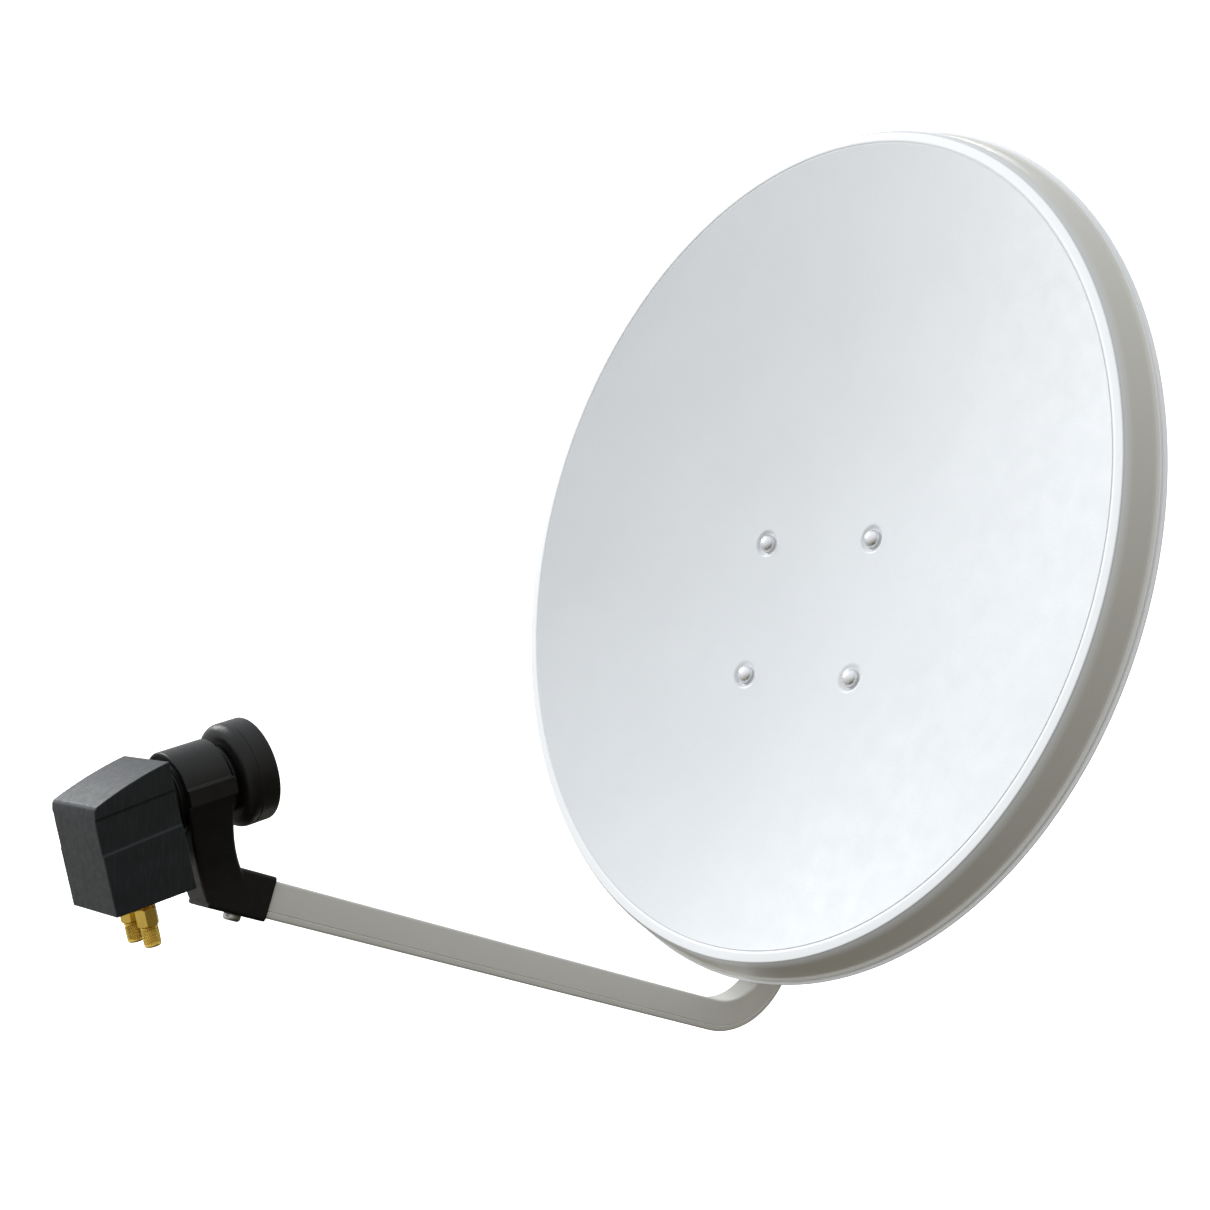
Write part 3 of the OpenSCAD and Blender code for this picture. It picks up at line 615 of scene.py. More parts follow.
def bowl_depth(x, z):
    """Distance of the face behind the rim's plane, at a place across and up."""
    # The paraboloid's equation, turned by the offset angle and solved for the depth
    q = 1 / (4 * FOCAL)
    c, s = math.cos(OFFSET_ANGLE), math.sin(OFFSET_ANGLE)
    a = q * c * c * s * s
    b = 1 + 2 * q * c * c * z * s
    k = q * (x * x + c * c * z * z) - BOWL
    return c * (math.sqrt(b * b - 4 * a * k) - b) / (2 * a)


def seat_depth(x, z):
    """Distance of a bolt's seat behind the rim's plane."""
    return bowl_depth(x, z) + DIMPLE


def dimpled(x, y, z):
    """Depth of the face with the pressed round seat about each bolt."""
    for bx, bz in BOLTS:
        d = math.hypot(x - bx, z - bz)
        if d < DIMPLE_OUT:
            t = max(0, (d - DIMPLE_FLAT) / (DIMPLE_OUT - DIMPLE_FLAT))
            t = t * t * (3 - 2 * t)
            y = seat_depth(bx, bz) * (1 - t) + y * t
    return y


def bowl_row(t, back):
    """Ring of points on the bowl, at a fraction of the way out and a distance behind the face."""
    row = []
    d = BOWL * (1 - t * t)
    for k in range(AROUND):
        a = TAU * k / AROUND
        x = HALF_W * t * math.cos(a)
        z = HALF_H * t * math.sin(a) - d * math.sin(OFFSET_ANGLE)
        y = dimpled(x, d * math.cos(OFFSET_ANGLE), z)
        row.append((x, y + back, z))
    return row


def rim_row(e, y):
    """Ring of points at a distance outside the bowl's outline and a depth behind the rim."""
    row = []
    for k in range(AROUND):
        a = TAU * k / AROUND
        nx, nz = math.cos(a) / HALF_W, math.sin(a) / HALF_H
        m = math.hypot(nx, nz)
        row.append((HALF_W * math.cos(a) + e * nx / m, y, HALF_H * math.sin(a) + e * nz / m))
    return row


def rim_profile():
    """Outward distance and depth, from the seam around the lip, shoulder, skirt, bead and flange."""
    d = RIM_DEPTH
    front = [(0.0, 0.0), (0.35, 0.28), (0.7, 0.34), (1.1, 0.1), (1.5, -0.25), (2.0, -0.5)]
    front += [(2.8, -0.6), (7.6, -0.6)]
    front += arc((7.7, 0.6), 1.2, -88, -50, 5)
    front += arc((-0.75, 9.75), 13.5, -47, -16, 8)
    front += [(13.2, 9.8), (15.0, 16.1), (16.5, 21.7), (17.1, d - 5.7), (17.4, d - 5.3)]
    front += arc((18.1, d - 3.4), 1.7, -95, 45, 10)
    front += [(19.35, d - 1.9), (19.6, d - 1.72), (20.2, d - 1.62), (21.1, d - 1.5)]
    front += arc((21.2, d - 0.75), 0.75, -75, 90, 8)
    back = [(19.0, d - 0.1), (18.4, d - 0.9), (18.0, d - 2.2), (17.3, d - 3.4), (16.5, d - 4.4)]
    back += [(15.3, 21.0), (12.1, 10.0)]
    back += arc((7.0, 3.9), 3.4, -16, -90, 8) + [(4.5, 0.5), (1.8, 0.6), (0.9, 1.5), (0.4, 1.6)]
    return front + back


def bowl_steps():
    """Fractions of the way out, closer together where the bolt dimples are."""
    steps, r = [], 0.0
    while r < HALF_W - 4:
        r += FINE_STEP if FINE_LOW < r < FINE_HIGH else COARSE_STEP
        steps.append(min(r, HALF_W) / HALF_W)
    return [t for t in steps if t < 0.988] + [0.993, 1.0]


def make_reflector():
    steps = bowl_steps()
    rows = [bowl_row(t, 0.0) for t in steps]
    rows += [rim_row(e, y) for e, y in rim_profile()[1:]]
    rows += [bowl_row(t, SHEET) for t in reversed(steps)]
    points, faces = loft(rows)
    # Fans about the middle of the face and of the back replace the loft's two flat ends
    faces = faces[:-2]
    depth, height = BOWL * math.cos(OFFSET_ANGLE), -BOWL * math.sin(OFFSET_ANGLE)
    end = len(points)
    points += [(0, depth, height), (0, depth + SHEET, height)]
    last = (len(rows) - 1) * AROUND
    faces += [(end, (k + 1) % AROUND, k) for k in range(AROUND)]
    faces += [(end + 1, last + k, last + (k + 1) % AROUND) for k in range(AROUND)]
    obj = build("reflector_skin", (points, faces), DISH, 50)
    dress(obj, "dish", "white_paint", "reflector")


# ---------------------------------------------------------------- fasteners
M5_R, M5_PITCH = 2.5, 0.8
M6_R, M6_PITCH, M6_FLATS, M6_HEAD, M6_NUT = 3.0, 1.0, 10.0, 4.0, 5.0
M8_R, M8_PITCH, M8_FLATS, M8_HEAD, M8_NUT = 4.0, 1.25, 13.0, 5.3, 6.8
NUT_GAP = 0.05
HOLE_GAP = 0.3
WASHER_T = 1.6
# Domed bolts through the plate behind the reflector, in the dish's frame
PLATE_FRONT, PLATE_BACK = 46.0, 49.0
DOME_R, DOME_H, DOME_BASE = 7.0, 6.15, -0.5
BOLT_TAIL, BOLT_THREAD = 12.0, 17.0
# Clamp bolts, in the mast's frame
CLAMP_X, JAW_Z = 41.0, 48.0
CLAMP_HEAD_Y, CLAMP_LENGTH, CLAMP_THREAD = -33.0, 79.0, 40.0
JAW_NUT_Y = 16.0
# Pivot and lock bolts through the cheeks, in the mast's frame
CHEEK_Y, PIVOT_Z, LOCK_Z = -80.0, -25.0, 27.0
CHEEK_IN, CHEEK_THREAD_X, CHEEK_NUT_X = 27.0, 36.0, 35.2
PIVOT_END, LOCK_END = 46.0, 49.0
PIVOT_NUT = 6.5
# Bolts across the arm's socket, in the dish's frame
SOCKET_BOLTS = (-78.0, -108.0)
SOCKET_OUT, SOCKET_LENGTH, SOCKET_THREAD = 12.5, 32.5, 16.0


def on_axis(place, turn):
    """Frame at a place, its Z axis turned along ALONG_X or ALONG_Y."""
    return Matrix.Translation(place) @ turn


def make_reflector_fasteners():
    bolts, washers, nuts, spacers = [], [], [], []
    angles = [math.radians(d) for d in range(84, -1, -6)]
    rise = DOME_H + DOME_BASE
    dome = [(0.01, -DOME_H)] + [(DOME_R * math.cos(a), DOME_BASE - rise * math.sin(a)) for a in angles]
    dome += [(DOME_R, -0.3), (DOME_R - 0.4, 0.0), (0.01, 0.0)]
    for x, z in BOLTS:
        seat = seat_depth(x, z)
        at = on_axis((x, seat, z), ALONG_Y)
        tail = PLATE_BACK + BOLT_TAIL - seat
        rod = threaded_rod(M6_R, DOME_BASE, tail, M6_PITCH, tail - BOLT_THREAD)
        bolts.append(moved(joined(turned(dome, 72), rod), at))
        spacers.append(moved(washer(M6_R + HOLE_GAP, 8.0, SHEET, PLATE_FRONT - seat), at))
        back = on_axis((x, PLATE_BACK, z), ALONG_Y)
        washers.append(moved(washer(M6_R + HOLE_GAP, 7.5, 0, WASHER_T), back))
        nuts.append(moved(hex_block(M6_FLATS, WASHER_T, WASHER_T + M6_NUT, M6_R + NUT_GAP), back))
    dress(build("carriage_bolts", joined(*bolts), DISH), "dish", "zinc", "reflector_bolts", "bright_zinc")
    dress(build("bolt_spacers", joined(*spacers), DISH), "dish", "black_plastic", "reflector_spacers")
    dress(build("bolt_washers", joined(*washers), DISH), "dish", "zinc", "reflector_washers")
    dress(build("bolt_nuts", joined(*nuts), DISH), "dish", "zinc", "reflector_nuts")


def hex_bolt(radius, flats, head, length, pitch, thread):
    """Head below z = 0, shank above it, the last stretch threaded."""
    rod = threaded_rod(radius, -0.5, length, pitch, max(0.0, length - thread))
    top = moved(hex_block(flats, 0, head, both=False), Matrix.Rotation(math.pi, 4, "X"))
    return joined(top, rod)


def make_clamp_bolts():
    bolt = hex_bolt(M8_R, M8_FLATS, M8_HEAD, CLAMP_LENGTH, M8_PITCH, CLAMP_THREAD)
    nut = hex_block(M8_FLATS, JAW_NUT_Y, JAW_NUT_Y + M8_NUT, M8_R + NUT_GAP)
    shapes = []
    for x in (-CLAMP_X, CLAMP_X):
        for z in (-JAW_Z, JAW_Z):
            shapes.append(moved(bolt, on_axis((x, CLAMP_HEAD_Y, z), ALONG_Y)))
    dress(build("clamp_bolt_set", joined(*shapes), WORLD), "mast_bracket", "zinc", "clamp_bolts")
    for side, z in (("upper", JAW_Z), ("lower", -JAW_Z)):
        nuts = [moved(nut, on_axis((x, 0, z), ALONG_Y)) for x in (-CLAMP_X, CLAMP_X)]
        pair = build(side + "_nut_pair", joined(*nuts), WORLD)
        dress(pair, side + "_jaw_body", "zinc", side + "_jaw_nuts")


def both_sides(shape):
    """The shape and its mirror image across the object's middle."""
    points, faces = shape
    other = [(-x, y, z) for x, y, z in points], [tuple(reversed(f)) for f in faces]
    return joined(shape, other)


def make_cheek_bolts():
    bore = M8_R + NUT_GAP
    for name, z, end, wide in (("pivot", PIVOT_Z, PIVOT_END, 8.0), ("lock", LOCK_Z, LOCK_END, 11.0)):
        bolt = hex_bolt(M8_R, M8_FLATS, M8_HEAD, end - CHEEK_IN, M8_PITCH, end - CHEEK_THREAD_X)
        bolt = moved(bolt, on_axis((CHEEK_IN, CHEEK_Y, z), ALONG_X))
        pair = build(name + "_bolt_pair", both_sides(bolt), WORLD)
        dress(pair, "mast_bracket", "zinc", name + "_bolts")
        ring = washer(bore, wide, CHEEK_NUT_X - WASHER_T, CHEEK_NUT_X)
        ring = moved(ring, on_axis((0, CHEEK_Y, z), ALONG_X))
        pair = build(name + "_washer_pair", both_sides(ring), WORLD)
        dress(pair, "mast_bracket", "zinc", name + "_washers")
    collar = [(5.8, 6.2), (5.8, 7.4), (5.2, 8), (bore, 8), (bore, 6.2)]
    collar = turned([(r, CHEEK_NUT_X + z) for r, z in collar], 64, closed=True)
    nut = joined(hex_block(M8_FLATS, CHEEK_NUT_X, CHEEK_NUT_X + PIVOT_NUT, bore), collar)
    nuts = moved(nut, on_axis((0, CHEEK_Y, PIVOT_Z), ALONG_X))
    dress(build("pivot_nut_pair", both_sides(nuts), WORLD), "mast_bracket", "zinc", "pivot_nuts")


def make_arm_fasteners():
    bolt = hex_bolt(M6_R, M6_FLATS, M6_HEAD, SOCKET_LENGTH, M6_PITCH, SOCKET_THREAD)
    nut = hex_block(M6_FLATS, SOCKET_OUT, SOCKET_OUT + M6_NUT, M6_R + NUT_GAP)
    bolts = [moved(bolt, on_axis((-SOCKET_OUT, ARM_BACK_Y, z), ALONG_X)) for z in SOCKET_BOLTS]
    nuts = [moved(nut, on_axis((0, ARM_BACK_Y, z), ALONG_X)) for z in SOCKET_BOLTS]
    dress(build("arm_bolt_pair", joined(*bolts), DISH), "dish", "zinc", "arm_bolts")
    dress(build("arm_nut_pair", joined(*nuts), DISH), "dish", "zinc", "arm_nuts")


def make_hardware():
    """Brackets, jaws, wing nuts and the arm's end cap, on the CAD's own shapes."""
    for node, width in (("mast_channel", 0.7), ("mast_saddles", 0.9)):
        refined(node, "mast_bracket", "zinc", width)
    for side in ("upper", "lower"):
        refined(side + "_jaw", side + "_jaw_body", "zinc", 0.8)
    for side in ("left", "right"):
        refined("wing_nut_" + side, "wing_" + side, "zinc", 0.9, segments=3)
    for node in ("dish_bracket", "arm_socket"):
        refined(node, "dish", "zinc", 0.6)
    refined("arm_end_cap", "dish", "black_plastic", 0.6)


# ---------------------------------------------------------------- feed arm
# In the dish's frame: the run from the clamp drops toward the dish and bends up behind it.
TUBE_W, TUBE_H = 20.0, 22.0
RUN_START = (-419.0, -310.5)
RUN_DROP = math.radians(6.3)
RUN_DIR = (math.cos(RUN_DROP), -math.sin(RUN_DROP))
RUN_UP = (math.sin(RUN_DROP), math.cos(RUN_DROP))
ARM_BACK_Y = 60.0
ARM_TOP_Z = -62.0
BEND_R = 60.0
RUN_ROWS, BEND_ROWS, RISE_ROWS = 24, 36, 12
# Seam line in the tube's two sides: its height above the lower face, half its width, and its depth
SEAM_UP, SEAM_HALF, SEAM_DEPTH = 4.2, 0.45, 0.4


def make_feed_arm():
    bend_y = ARM_BACK_Y - BEND_R
    run = (bend_y - RUN_START[0] - BEND_R * RUN_UP[0]) / RUN_DIR[0]
    bend_z = RUN_START[1] + run * RUN_DIR[1] + BEND_R * RUN_UP[1]
    groove = [(TUBE_W / 2, -SEAM_HALF), (TUBE_W / 2 - SEAM_DEPTH, 0.0), (TUBE_W / 2, SEAM_HALF)]
    groove = [(x, y + SEAM_UP - TUBE_H / 2) for x, y in groove]
    corners = rounded_rectangle(TUBE_W, TUBE_H, 1.6)
    half = len(corners) // 2
    section = corners[:half] + [(-x, y) for x, y in reversed(groove)] + corners[half:] + groove
    rows = []

    def row(y, z, up):
        rows.append([(x, y + h * up[0], z + h * up[1]) for x, h in section])

    for k in range(RUN_ROWS + 1):
        t = run * k / RUN_ROWS
        row(RUN_START[0] + t * RUN_DIR[0], RUN_START[1] + t * RUN_DIR[1], RUN_UP)
    for k in range(1, BEND_ROWS + 1):
        a = -(math.pi / 2 + RUN_DROP) * (1 - k / BEND_ROWS)
        row(bend_y + BEND_R * math.cos(a), bend_z + BEND_R * math.sin(a), (-math.cos(a), -math.sin(a)))
    for k in range(1, RISE_ROWS + 1):
        row(ARM_BACK_Y, bend_z + (ARM_TOP_Z - bend_z) * k / RISE_ROWS, (-1, 0))
    dress(build("arm_tube", loft(rows), DISH, 40), "dish", "grey_paint", "feed_arm")


# ---------------------------------------------------------------- feed clamp
# The ring and the strap in the feed head's frame, the sleeve in the arm's own frame.
RING_R, RING_OUT, RING_HALF = 20.3, 25.0, 14.5
RING_STEP = 0.9
BAND_LOW, BAND_HIGH, BAND_OUT = -5.0, 5.0, 27.0
SLEEVE_WALL, SLEEVE_START, SLEEVE_END = 2.15, -3.0, 35.0
SLEEVE_GAP = 0.15
SCREW_ALONG = 20.0
RUN = DISH @ Matrix.Translation((0, RUN_START[0], RUN_START[1])) @ Matrix.Rotation(-RUN_DROP, 4, "X")


def rounded_box(w, y0, y1, z0, z1, r):
    """Box with rounded edges along Y."""
    section = rounded_rectangle(w, z1 - z0, r, 4)
    mid = (z0 + z1) / 2
    return loft([[(x, y, mid + z) for x, z in section] for y in (y0, y1)])


def ring_shape(r_out, start, end, steps=48):
    """Part of the clamp ring about Y, angles in degrees from +X toward +Z, stepped at its inner edges."""
    step_y = RING_STEP - RING_HALF
    front = [(RING_R, step_y), (RING_R + 1.9, step_y), (RING_R + 2.2, -RING_HALF), (r_out - 1.0, -RING_HALF),
             (r_out - 0.3, 0.3 - RING_HALF), (r_out, 1.0 - RING_HALF)]
    profile = front + [(r, -y) for r, y in reversed(front)]
    rows = []
    for k in range(steps + 1):
        a = math.radians(start + (end - start) * k / steps)
        rows.append([(r * math.cos(a), y, r * math.sin(a)) for r, y in profile])
    return loft(rows)


def make_holder_cap():
    """Strap over the ring, with a flat band down each side."""
    strap = ring_shape(RING_OUT, 1, 179)
    bands = []
    for s in (-1, 1):
        x0, x1 = sorted((s * RING_R, s * BAND_OUT))
        section = [(x0, BAND_LOW), (x1, BAND_LOW), (x1, BAND_HIGH), (x0, BAND_HIGH)]
        bands.append(loft([[(x, y, z) for x, z in section] for y in (-RING_HALF, RING_HALF)]))
    obj = build("clamp_strap", joined(strap, *bands), FEED)
    remoulded(obj, 0.42, 3)
    dress(obj, "holder_strap", "black_plastic", "holder_cap")


def stalk_rows():
    """Sections of the stalk from the ring down: height, half width, front and rear edge."""
    table = [(-5.3, 23.7, -14.5, 14.5), (-9, 22.9, -14.4, 14.1), (-14, 21.5, -14.3, 13.4),
             (-20, 19.7, -14.1, 12.7), (-26, 18.0, -13.9, 12.3), (-32, 16.5, -13.5, 12.2),
             (-38, 15.1, -13.0, 12.4), (-44, 13.9, -12.4, 13.0), (-50, 13.0, -11.7, 14.0),
             (-56, 12.4, -11.0, 15.5), (-62, 12.2, -10.4, 17.5), (-67, 12.15, -8.6, 12.0)]
    rows = []
    for z, half, front, rear in table:
        section = rounded_rectangle(2 * half, rear - front, 2.2, 4)
        rows.append([(x, (front + rear) / 2 + y, z) for x, y in section])
    return rows


def make_holder():
    """Lower half of the ring, the stalk and the sleeve over the arm's end, in one moulding."""
    stalk = build("holder_moulding", loft(stalk_rows()), FEED)
    outer = TUBE_H / 2 + SLEEVE_WALL
    sleeve = rounded_box(TUBE_W + 2 * SLEEVE_WALL, SLEEVE_START, SLEEVE_END, -outer, outer, 2.0)
    ring = ring_shape(RING_OUT - 0.4, 192, 348)
    boolean(stalk, [build("sleeve", sleeve, RUN), build("ring", ring, FEED)], "UNION")
    bore = moved(turned([(RING_R, -40), (RING_R, 40)]), ALONG_Y)
    notch = rounded_box(15, -16, -8, -26.5, -16, 3.0)
    inner = TUBE_H / 2 + SLEEVE_GAP
    hole = rounded_box(TUBE_W + 2 * SLEEVE_GAP, 0, 50, -inner, inner, 2.2)
    cuts = [build("bore", bore, FEED), build("notch", notch, FEED), build("hole", hole, RUN)]
    boolean(stalk, cuts, "DIFFERENCE")
    remoulded(stalk, 0.5, 4)
    dress(stalk, "dish", "black_plastic", "lnb_holder")


def make_holder_screw():
    """Round-headed screw under the sleeve."""
    under = -TUBE_H / 2 - SLEEVE_WALL
    profile = [(0.01, 0.0), (4.9, 0.0), (5.2, 0.3)] + arc((3.0, 1.6), 2.2, 0, 80, 6)
    head = turned(profile + [(2.0, 3.8), (1.6, 3.0), (0.01, 3.0)], 64)
    rod = threaded_rod(M5_R, -12, 0.5, M5_PITCH)
    at = Matrix.Translation((0, SCREW_ALONG, under)) @ Matrix.Rotation(math.pi, 4, "X")
    dress(build("sleeve_screw", moved(joined(head, rod), at), RUN), "dish", "zinc", "holder_bolt")


# ---------------------------------------------------------------- feed head
# In the feed head's frame: Y runs along the neck toward the reflector, and the ring is at 0.
HEAD_W, HEAD_FRONT, HEAD_BACK, HEAD_TOP, HEAD_LOW = 54.0, -22.0, -69.7, 24.0, -48.0
BACK_TOP = 14.0
CASING_WALL = 2.2
PANEL_DEPTH, PANEL_MARGIN = 0.7, 3.0
THROAT_R, ARCH_R, ARCH_Z = 15.0, 20.0, -60.0
NECK_BORE, NECK_ROOT_R, NECK_END = 12.2, 18.7, 20.0
RIBS, RIB_PITCH = 12, 3.4
LENS_CAP_R = 30.5
PORT_X, PORT_Y = 10.0, -46.0
PORT_R, PORT_PITCH = 4.76, 0.794
PORT_START, PORT_THREAD, PORT_END = 35.6, 41.5, 59.8
KNURL_R, KNURL_DEPTH, KNURL_LOW, KNURL_HIGH = 4.75, 0.42, 64.6, 72.6
KNURLS, KNURL_SLANT, KNURL_POINTS, KNURL_ROWS = 21, 5, 192, 40
PLUG_NUT_LOW, PLUG_NUT_HIGH, PLUG_NUT_FLATS, PLUG_NUT_BORE = 52.5, 62.5, 11.0, 4.9


def head_outline(inset=0.0, low=HEAD_LOW):
    """Side view of the housing: a roof that curves down to the back, and a slightly bowed back."""
    f, b = HEAD_FRONT - inset, HEAD_BACK + inset
    roof = []
    for k in range(13):
        t = k / 12
        drop = (HEAD_TOP - BACK_TOP + 1.5) * (0.55 * t + 0.45 * t * t)
        roof.append((f + (b + 2.5 - f) * t, HEAD_TOP - inset - drop))
    end = roof[-1][1]
    back = [(b + 0.9, end - 1.6), (b + 0.25, end - 5.0), (b, end - 12.0), (b + 0.1, low)]
    return [(f, low)] + roof + back


def make_housing():
    """Hollow casing, open below: a hole for the neck, an arch under it, a panel in each side."""
    shell = build("head_casing", slab(head_outline(), HEAD_W / 2), FEED)
    inner = slab(head_outline(CASING_WALL, HEAD_LOW - 5), HEAD_W / 2 - CASING_WALL)
    throat = moved(turned([(THROAT_R, -30), (THROAT_R, -10)], 72), ALONG_Y)
    arch = moved(turned([(ARCH_R, -26), (ARCH_R, -18)]), on_axis((0, 0, ARCH_Z), ALONG_Y))
    cuts = [build("inner", inner, FEED), build("throat", throat, FEED), build("arch", arch, FEED)]
    front, rear = HEAD_FRONT + PANEL_MARGIN, HEAD_BACK - PANEL_MARGIN
    panel = [(front, -11.5), (front, 8.5), (rear, 5.5), (rear, -14.5)]
    for s in (-1, 1):
        x0, x1 = sorted((s * (HEAD_W / 2 - PANEL_DEPTH), s * (HEAD_W / 2 + 3)))
        cuts.append(build("panel", loft([[(x, y, z) for y, z in panel] for x in (x0, x1)]), FEED))
    boolean(shell, cuts, "DIFFERENCE")
    remoulded(shell, 0.5, 3)
    dress(shell, "feed_head", "slate_plastic", "lnb_housing")


def make_neck():
    """Tube with a row of rounded ribs, from inside the casing to the lens cap."""
    profile = [(14.9, HEAD_FRONT - 4), (14.9, HEAD_FRONT + 0.1)]
    profile += [(19.4, HEAD_FRONT + 0.1), (19.4, HEAD_FRONT + 1.0)]
    for k in range(RIBS):
        z = HEAD_FRONT + 1.3 + RIB_PITCH * k
        profile += [(18.75, z), (19.45, z + 0.35), (19.9, z + 0.75), (20.0, z + 1.3), (20.0, z + 1.9)]
        profile += [(19.85, z + 2.35), (19.3, z + 2.75), (NECK_ROOT_R, z + 3.0)]
    profile += [(NECK_ROOT_R, NECK_END), (NECK_BORE, NECK_END), (NECK_BORE, HEAD_FRONT - 4)]
    neck = moved(turned(profile, 128, closed=True), ALONG_Y)
    dress(build("ribbed_neck", neck, FEED, 60), "feed_head", "black_plastic", "lnb_neck")


def make_lens():
    """Cap with a groove around its side, and the slightly domed lens in its mouth."""
    r = LENS_CAP_R
    cap = [(NECK_BORE, 20.2), (19.5, 20.05), (23.5, 20.0)] + arc((r - 6.2, 26.2), 6.2, -90, 0, 10)
    cap += [(r, 27.4), (r - 0.35, 27.7), (r - 0.35, 28.1), (r, 28.4), (r, 38.4)]
    cap += arc((r - 1.3, 38.7), 1.3, 0, 90, 5)
    cap += [(28.0, 40.0), (27.3, 39.7), (27.05, 39.2), (27.05, 37.0), (25.0, 37.0)]
    cap += [(16.0, 23.2), (NECK_BORE, 23.2)]
    obj = build("lens_cap", moved(turned(cap, 160, closed=True), ALONG_Y), FEED)
    dress(obj, "feed_head", "black_plastic", "feed_cap")
    lens = [(0.01, 37.05), (26.6, 37.05), (26.95, 37.3), (26.95, 38.9), (26.6, 39.3), (25.8, 39.42)]
    lens += [(20, 39.7), (12, 39.88), (5, 39.96), (0.01, 39.98)]
    obj = build("lens_disc", moved(turned(lens, 160), ALONG_Y), FEED)
    dress(obj, "feed_head", "lens_plastic", "feed_lens")


def port_frame(side):
    """Frame of one port, its Z axis running down from the middle of the head."""
    return Matrix.Translation((PORT_X * side, PORT_Y, 0)) @ Matrix.Rotation(math.pi, 4, "X")


def make_ports():
    """Threaded barrels with a seal at the root and a coloured insulator in the end."""
    barrel = threaded_rod(PORT_R, PORT_START, PORT_END, PORT_PITCH, PORT_THREAD)
    seal = washer(PORT_R + 0.02, 7.2, 40.0, 42.0)
    face = turned([(0.7, 59.95), (3.1, 59.95), (3.4, 59.8), (3.4, 58.8), (0.7, 58.8)], 48, closed=True)
    core = turned([(0.01, 59.4), (0.8, 59.4), (0.8, 58.9), (0.01, 58.9)], 24)
    for colour, side in (("green", -1), ("blue", 1)):
        obj = build(colour + "_insulator", moved(joined(face, core), port_frame(side)), FEED)
        dress(obj, "feed_head", colour + "_plastic", "port_insulator_" + colour)
    barrels = joined(*(moved(barrel, port_frame(side)) for side in (-1, 1)))
    seals = joined(*(moved(seal, port_frame(side)) for side in (-1, 1)))
    dress(build("port_threads", barrels, FEED), "feed_head", "gold", "port_barrels")
    dress(build("port_rings", seals, FEED), "feed_head", "seal_rubber", "port_seals")


def knurled():
    """Rows of a cylinder along Z whose surface is cut into small diamonds."""
    rings = []
    for j in range(KNURL_ROWS + 1):
        z = KNURL_LOW + (KNURL_HIGH - KNURL_LOW) * j / KNURL_ROWS
        slant = j / KNURL_ROWS * KNURL_SLANT
        fade = min(1, j / 2, (KNURL_ROWS - j) / 2)
        ring = []
        for k in range(KNURL_POINTS):
            a = k / KNURL_POINTS
            u = (a * KNURLS + slant) % 1
            v = (a * KNURLS - slant) % 1
            cut = max(abs(u * 2 - 1), abs(v * 2 - 1))
            ring.append(polar(KNURL_R - KNURL_DEPTH * fade * max(0, (cut - 0.5) / 0.5), TAU * a, z))
        rings.append(ring)
    return rings


def make_plugs():
    """Knurled sleeve and hexagon nut of each plug, screwed on its port."""
    flange = [(2.4, 61.0), (2.4, 60.2), (4.5, 60.2), (4.6, 60.4), (4.6, 61.1), (3.8, 61.2)]
    collar = [(3.8, 63.0), (4.5, 63.0), (4.75, 63.25), (4.75, 63.9), (4.45, 64.1), (4.45, 64.4)]
    mouth = [(4.45, 72.8), (4.6, 73.1), (4.6, 73.9), (4.2, 74.5), (3.7, 74.5), (3.5, 74.3)]
    mouth += [(3.5, 64.5), (2.4, 64.5)]
    rows = [circle(r, z, KNURL_POINTS) for r, z in flange + collar]
    rows += knurled()
    rows += [circle(r, z, KNURL_POINTS) for r, z in mouth]
    sleeve = loft(rows, closed=True)
    nut = hex_block(PLUG_NUT_FLATS, PLUG_NUT_LOW, PLUG_NUT_HIGH, PLUG_NUT_BORE)
    for plug, side in (("plug_a", 1), ("plug_b", -1)):
        obj = build(plug + "_knurled_sleeve", moved(sleeve, port_frame(side)), FEED, 30)
        dress(obj, plug, "gold", plug + "_sleeve", "bright_gold")
        obj = build(plug + "_hex_nut", moved(nut, port_frame(side)), FEED)
        dress(obj, plug + "_nut_body", "gold", plug + "_nut", "bright_gold")


# ---------------------------------------------------------------- stage
# Metres. The floor is a mast's height below the dish.
FLOOR_DROP, FLOOR_HALF = 1.8, 30.0
BACKDROP_R, BACKDROP_ANGLE = 24.0, 1.4
LIGHT_SIDE = Vector((-0.30, -0.35, 0.88)).normalized()


def make_stage():
    """Pale floor under a pale dome. Only the camera sees them."""
    low = CAD_BOX[0].z - FLOOR_DROP
    floor = bpy.data.meshes.new("floor")
    corners = [(x * FLOOR_HALF, y * FLOOR_HALF, low) for x, y in ((-1, -1), (1, -1), (1, 1), (-1, 1))]
    floor.from_pydata(corners, [], [(0, 1, 2, 3)])
    angles = np.linspace(-BACKDROP_ANGLE, BACKDROP_ANGLE, 33)
    points, faces = turned([(BACKDROP_R * math.cos(a), BACKDROP_R * math.sin(a)) for a in angles], 64)
    dome = bpy.data.meshes.new("dome")
    dome.from_pydata(points, [], [tuple(reversed(f)) for f in faces])
    n = Nodes("pale_backdrop", (0.9, 0.9, 0.9), 0.8)
    n.base(n.ramp(n.noise(0.8, 3), [(0.3, (0.89, 0.89, 0.89)), (0.7, (0.91, 0.91, 0.91))]))
    n.shader.inputs["Emission Color"].default_value = (1, 1, 1, 1)
    n.shader.inputs["Emission Strength"].default_value = 1.0
    for mesh in (floor, dome):
        mesh.materials.append(n.material)
        obj = link_mesh(mesh.name, mesh)
        obj.visible_diffuse = False
        obj.visible_glossy = False
        obj.visible_transmission = False
        obj.visible_shadow = False


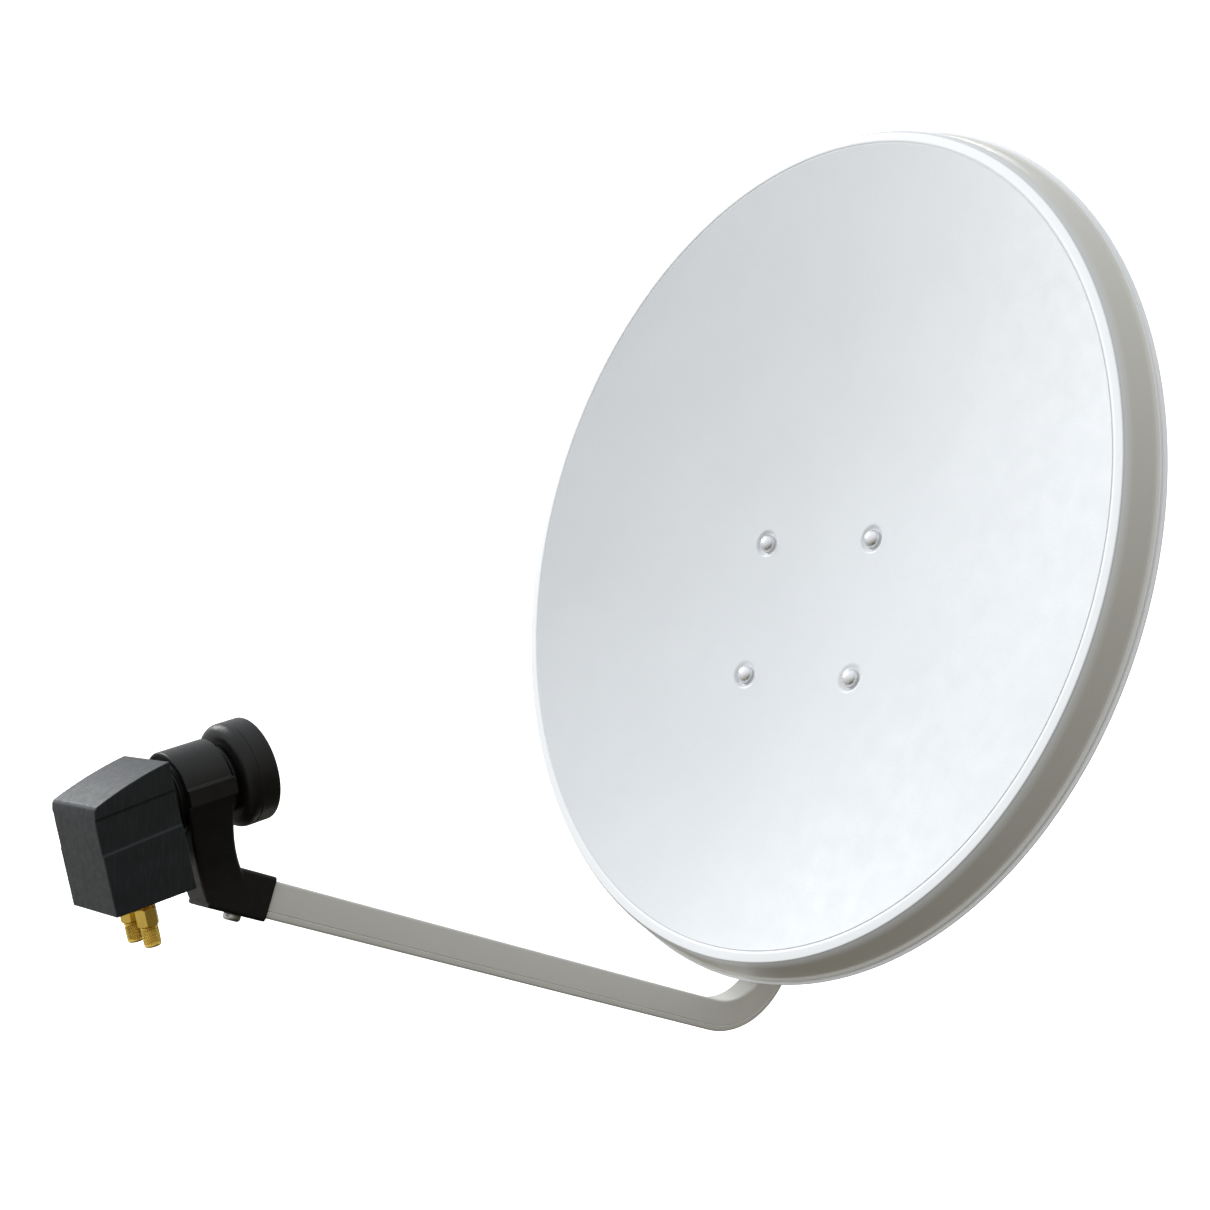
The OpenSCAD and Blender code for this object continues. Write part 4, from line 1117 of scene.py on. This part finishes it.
def make_world():
    """Soft light that falls off away from one upper corner, as in a studio with one large white wall."""
    world = bpy.data.worlds.new("studio")
    bpy.context.scene.world = world
    world.use_nodes = True
    tree = world.node_tree
    tree.nodes.clear()
    out = tree.nodes.new("ShaderNodeOutputWorld")
    background = tree.nodes.new("ShaderNodeBackground")
    place = tree.nodes.new("ShaderNodeTexCoord")
    dot = tree.nodes.new("ShaderNodeVectorMath")
    dot.operation = "DOT_PRODUCT"
    dot.inputs[1].default_value = LIGHT_SIDE
    spread = tree.nodes.new("ShaderNodeMapRange")
    spread.inputs["From Min"].default_value = -1
    spread.inputs["From Max"].default_value = 1
    ramp = tree.nodes.new("ShaderNodeValToRGB")
    stops = [(0.0, (0.02, 0.016, 0.006)), (0.25, (0.145, 0.131, 0.096)), (0.5, (0.53, 0.52, 0.49)),
             (0.75, (0.82, 0.84, 0.86)), (1.0, (1.04, 1.08, 1.12))]
    fill_ramp(ramp.color_ramp, stops)
    tree.links.new(place.outputs["Generated"], dot.inputs[0])
    tree.links.new(dot.outputs["Value"], spread.inputs["Value"])
    tree.links.new(spread.outputs["Result"], ramp.inputs["Fac"])
    tree.links.new(ramp.outputs["Color"], background.inputs["Color"])
    background.inputs["Strength"].default_value = 1.0
    tree.links.new(background.outputs["Background"], out.inputs["Surface"])


def area_light(name, away, size, power, colour=(1, 1, 1)):
    """Rectangular light at a place relative to the rim's middle, aimed at it."""
    data = bpy.data.lights.new(name, "AREA")
    data.shape = "RECTANGLE"
    data.size, data.size_y = size
    data.energy = power
    data.color = colour
    light = bpy.data.objects.new(name, data)
    light.location = RIM_CENTRE + Vector(away)
    light.rotation_euler = (RIM_CENTRE - light.location).to_track_quat("-Z", "Y").to_euler()
    bpy.context.scene.collection.objects.link(light)


make_camera()
make_world()
area_light("key", (-2.25, -1.05, 1.65), (1.0, 1.4), 49, (0.98, 0.99, 1.0))
area_light("rear", (-1.0, 2.6, 1.2), (1.4, 1.4), 26)
make_stage()
make_reflector()
make_reflector_fasteners()
make_clamp_bolts()
make_cheek_bolts()
make_arm_fasteners()
make_hardware()
make_feed_arm()
make_holder_cap()
make_holder()
make_holder_screw()
make_housing()
refined("lnb_base", "feed_head", "slate_plastic", 0.3)
make_neck()
make_lens()
make_ports()
make_plugs()

bpy.context.scene.view_settings.view_transform = "Standard"

# CAD nodes that show as they are take the looks of their slots
SLOT_OF = {part["node"]: part["material_slot"] for part in frame["record"]["subparts"]}
for name, obj in frame["nodes"].items():
    obj.data.materials.clear()
    obj.data.materials.append(MATERIALS[SLOT_OF[name]])
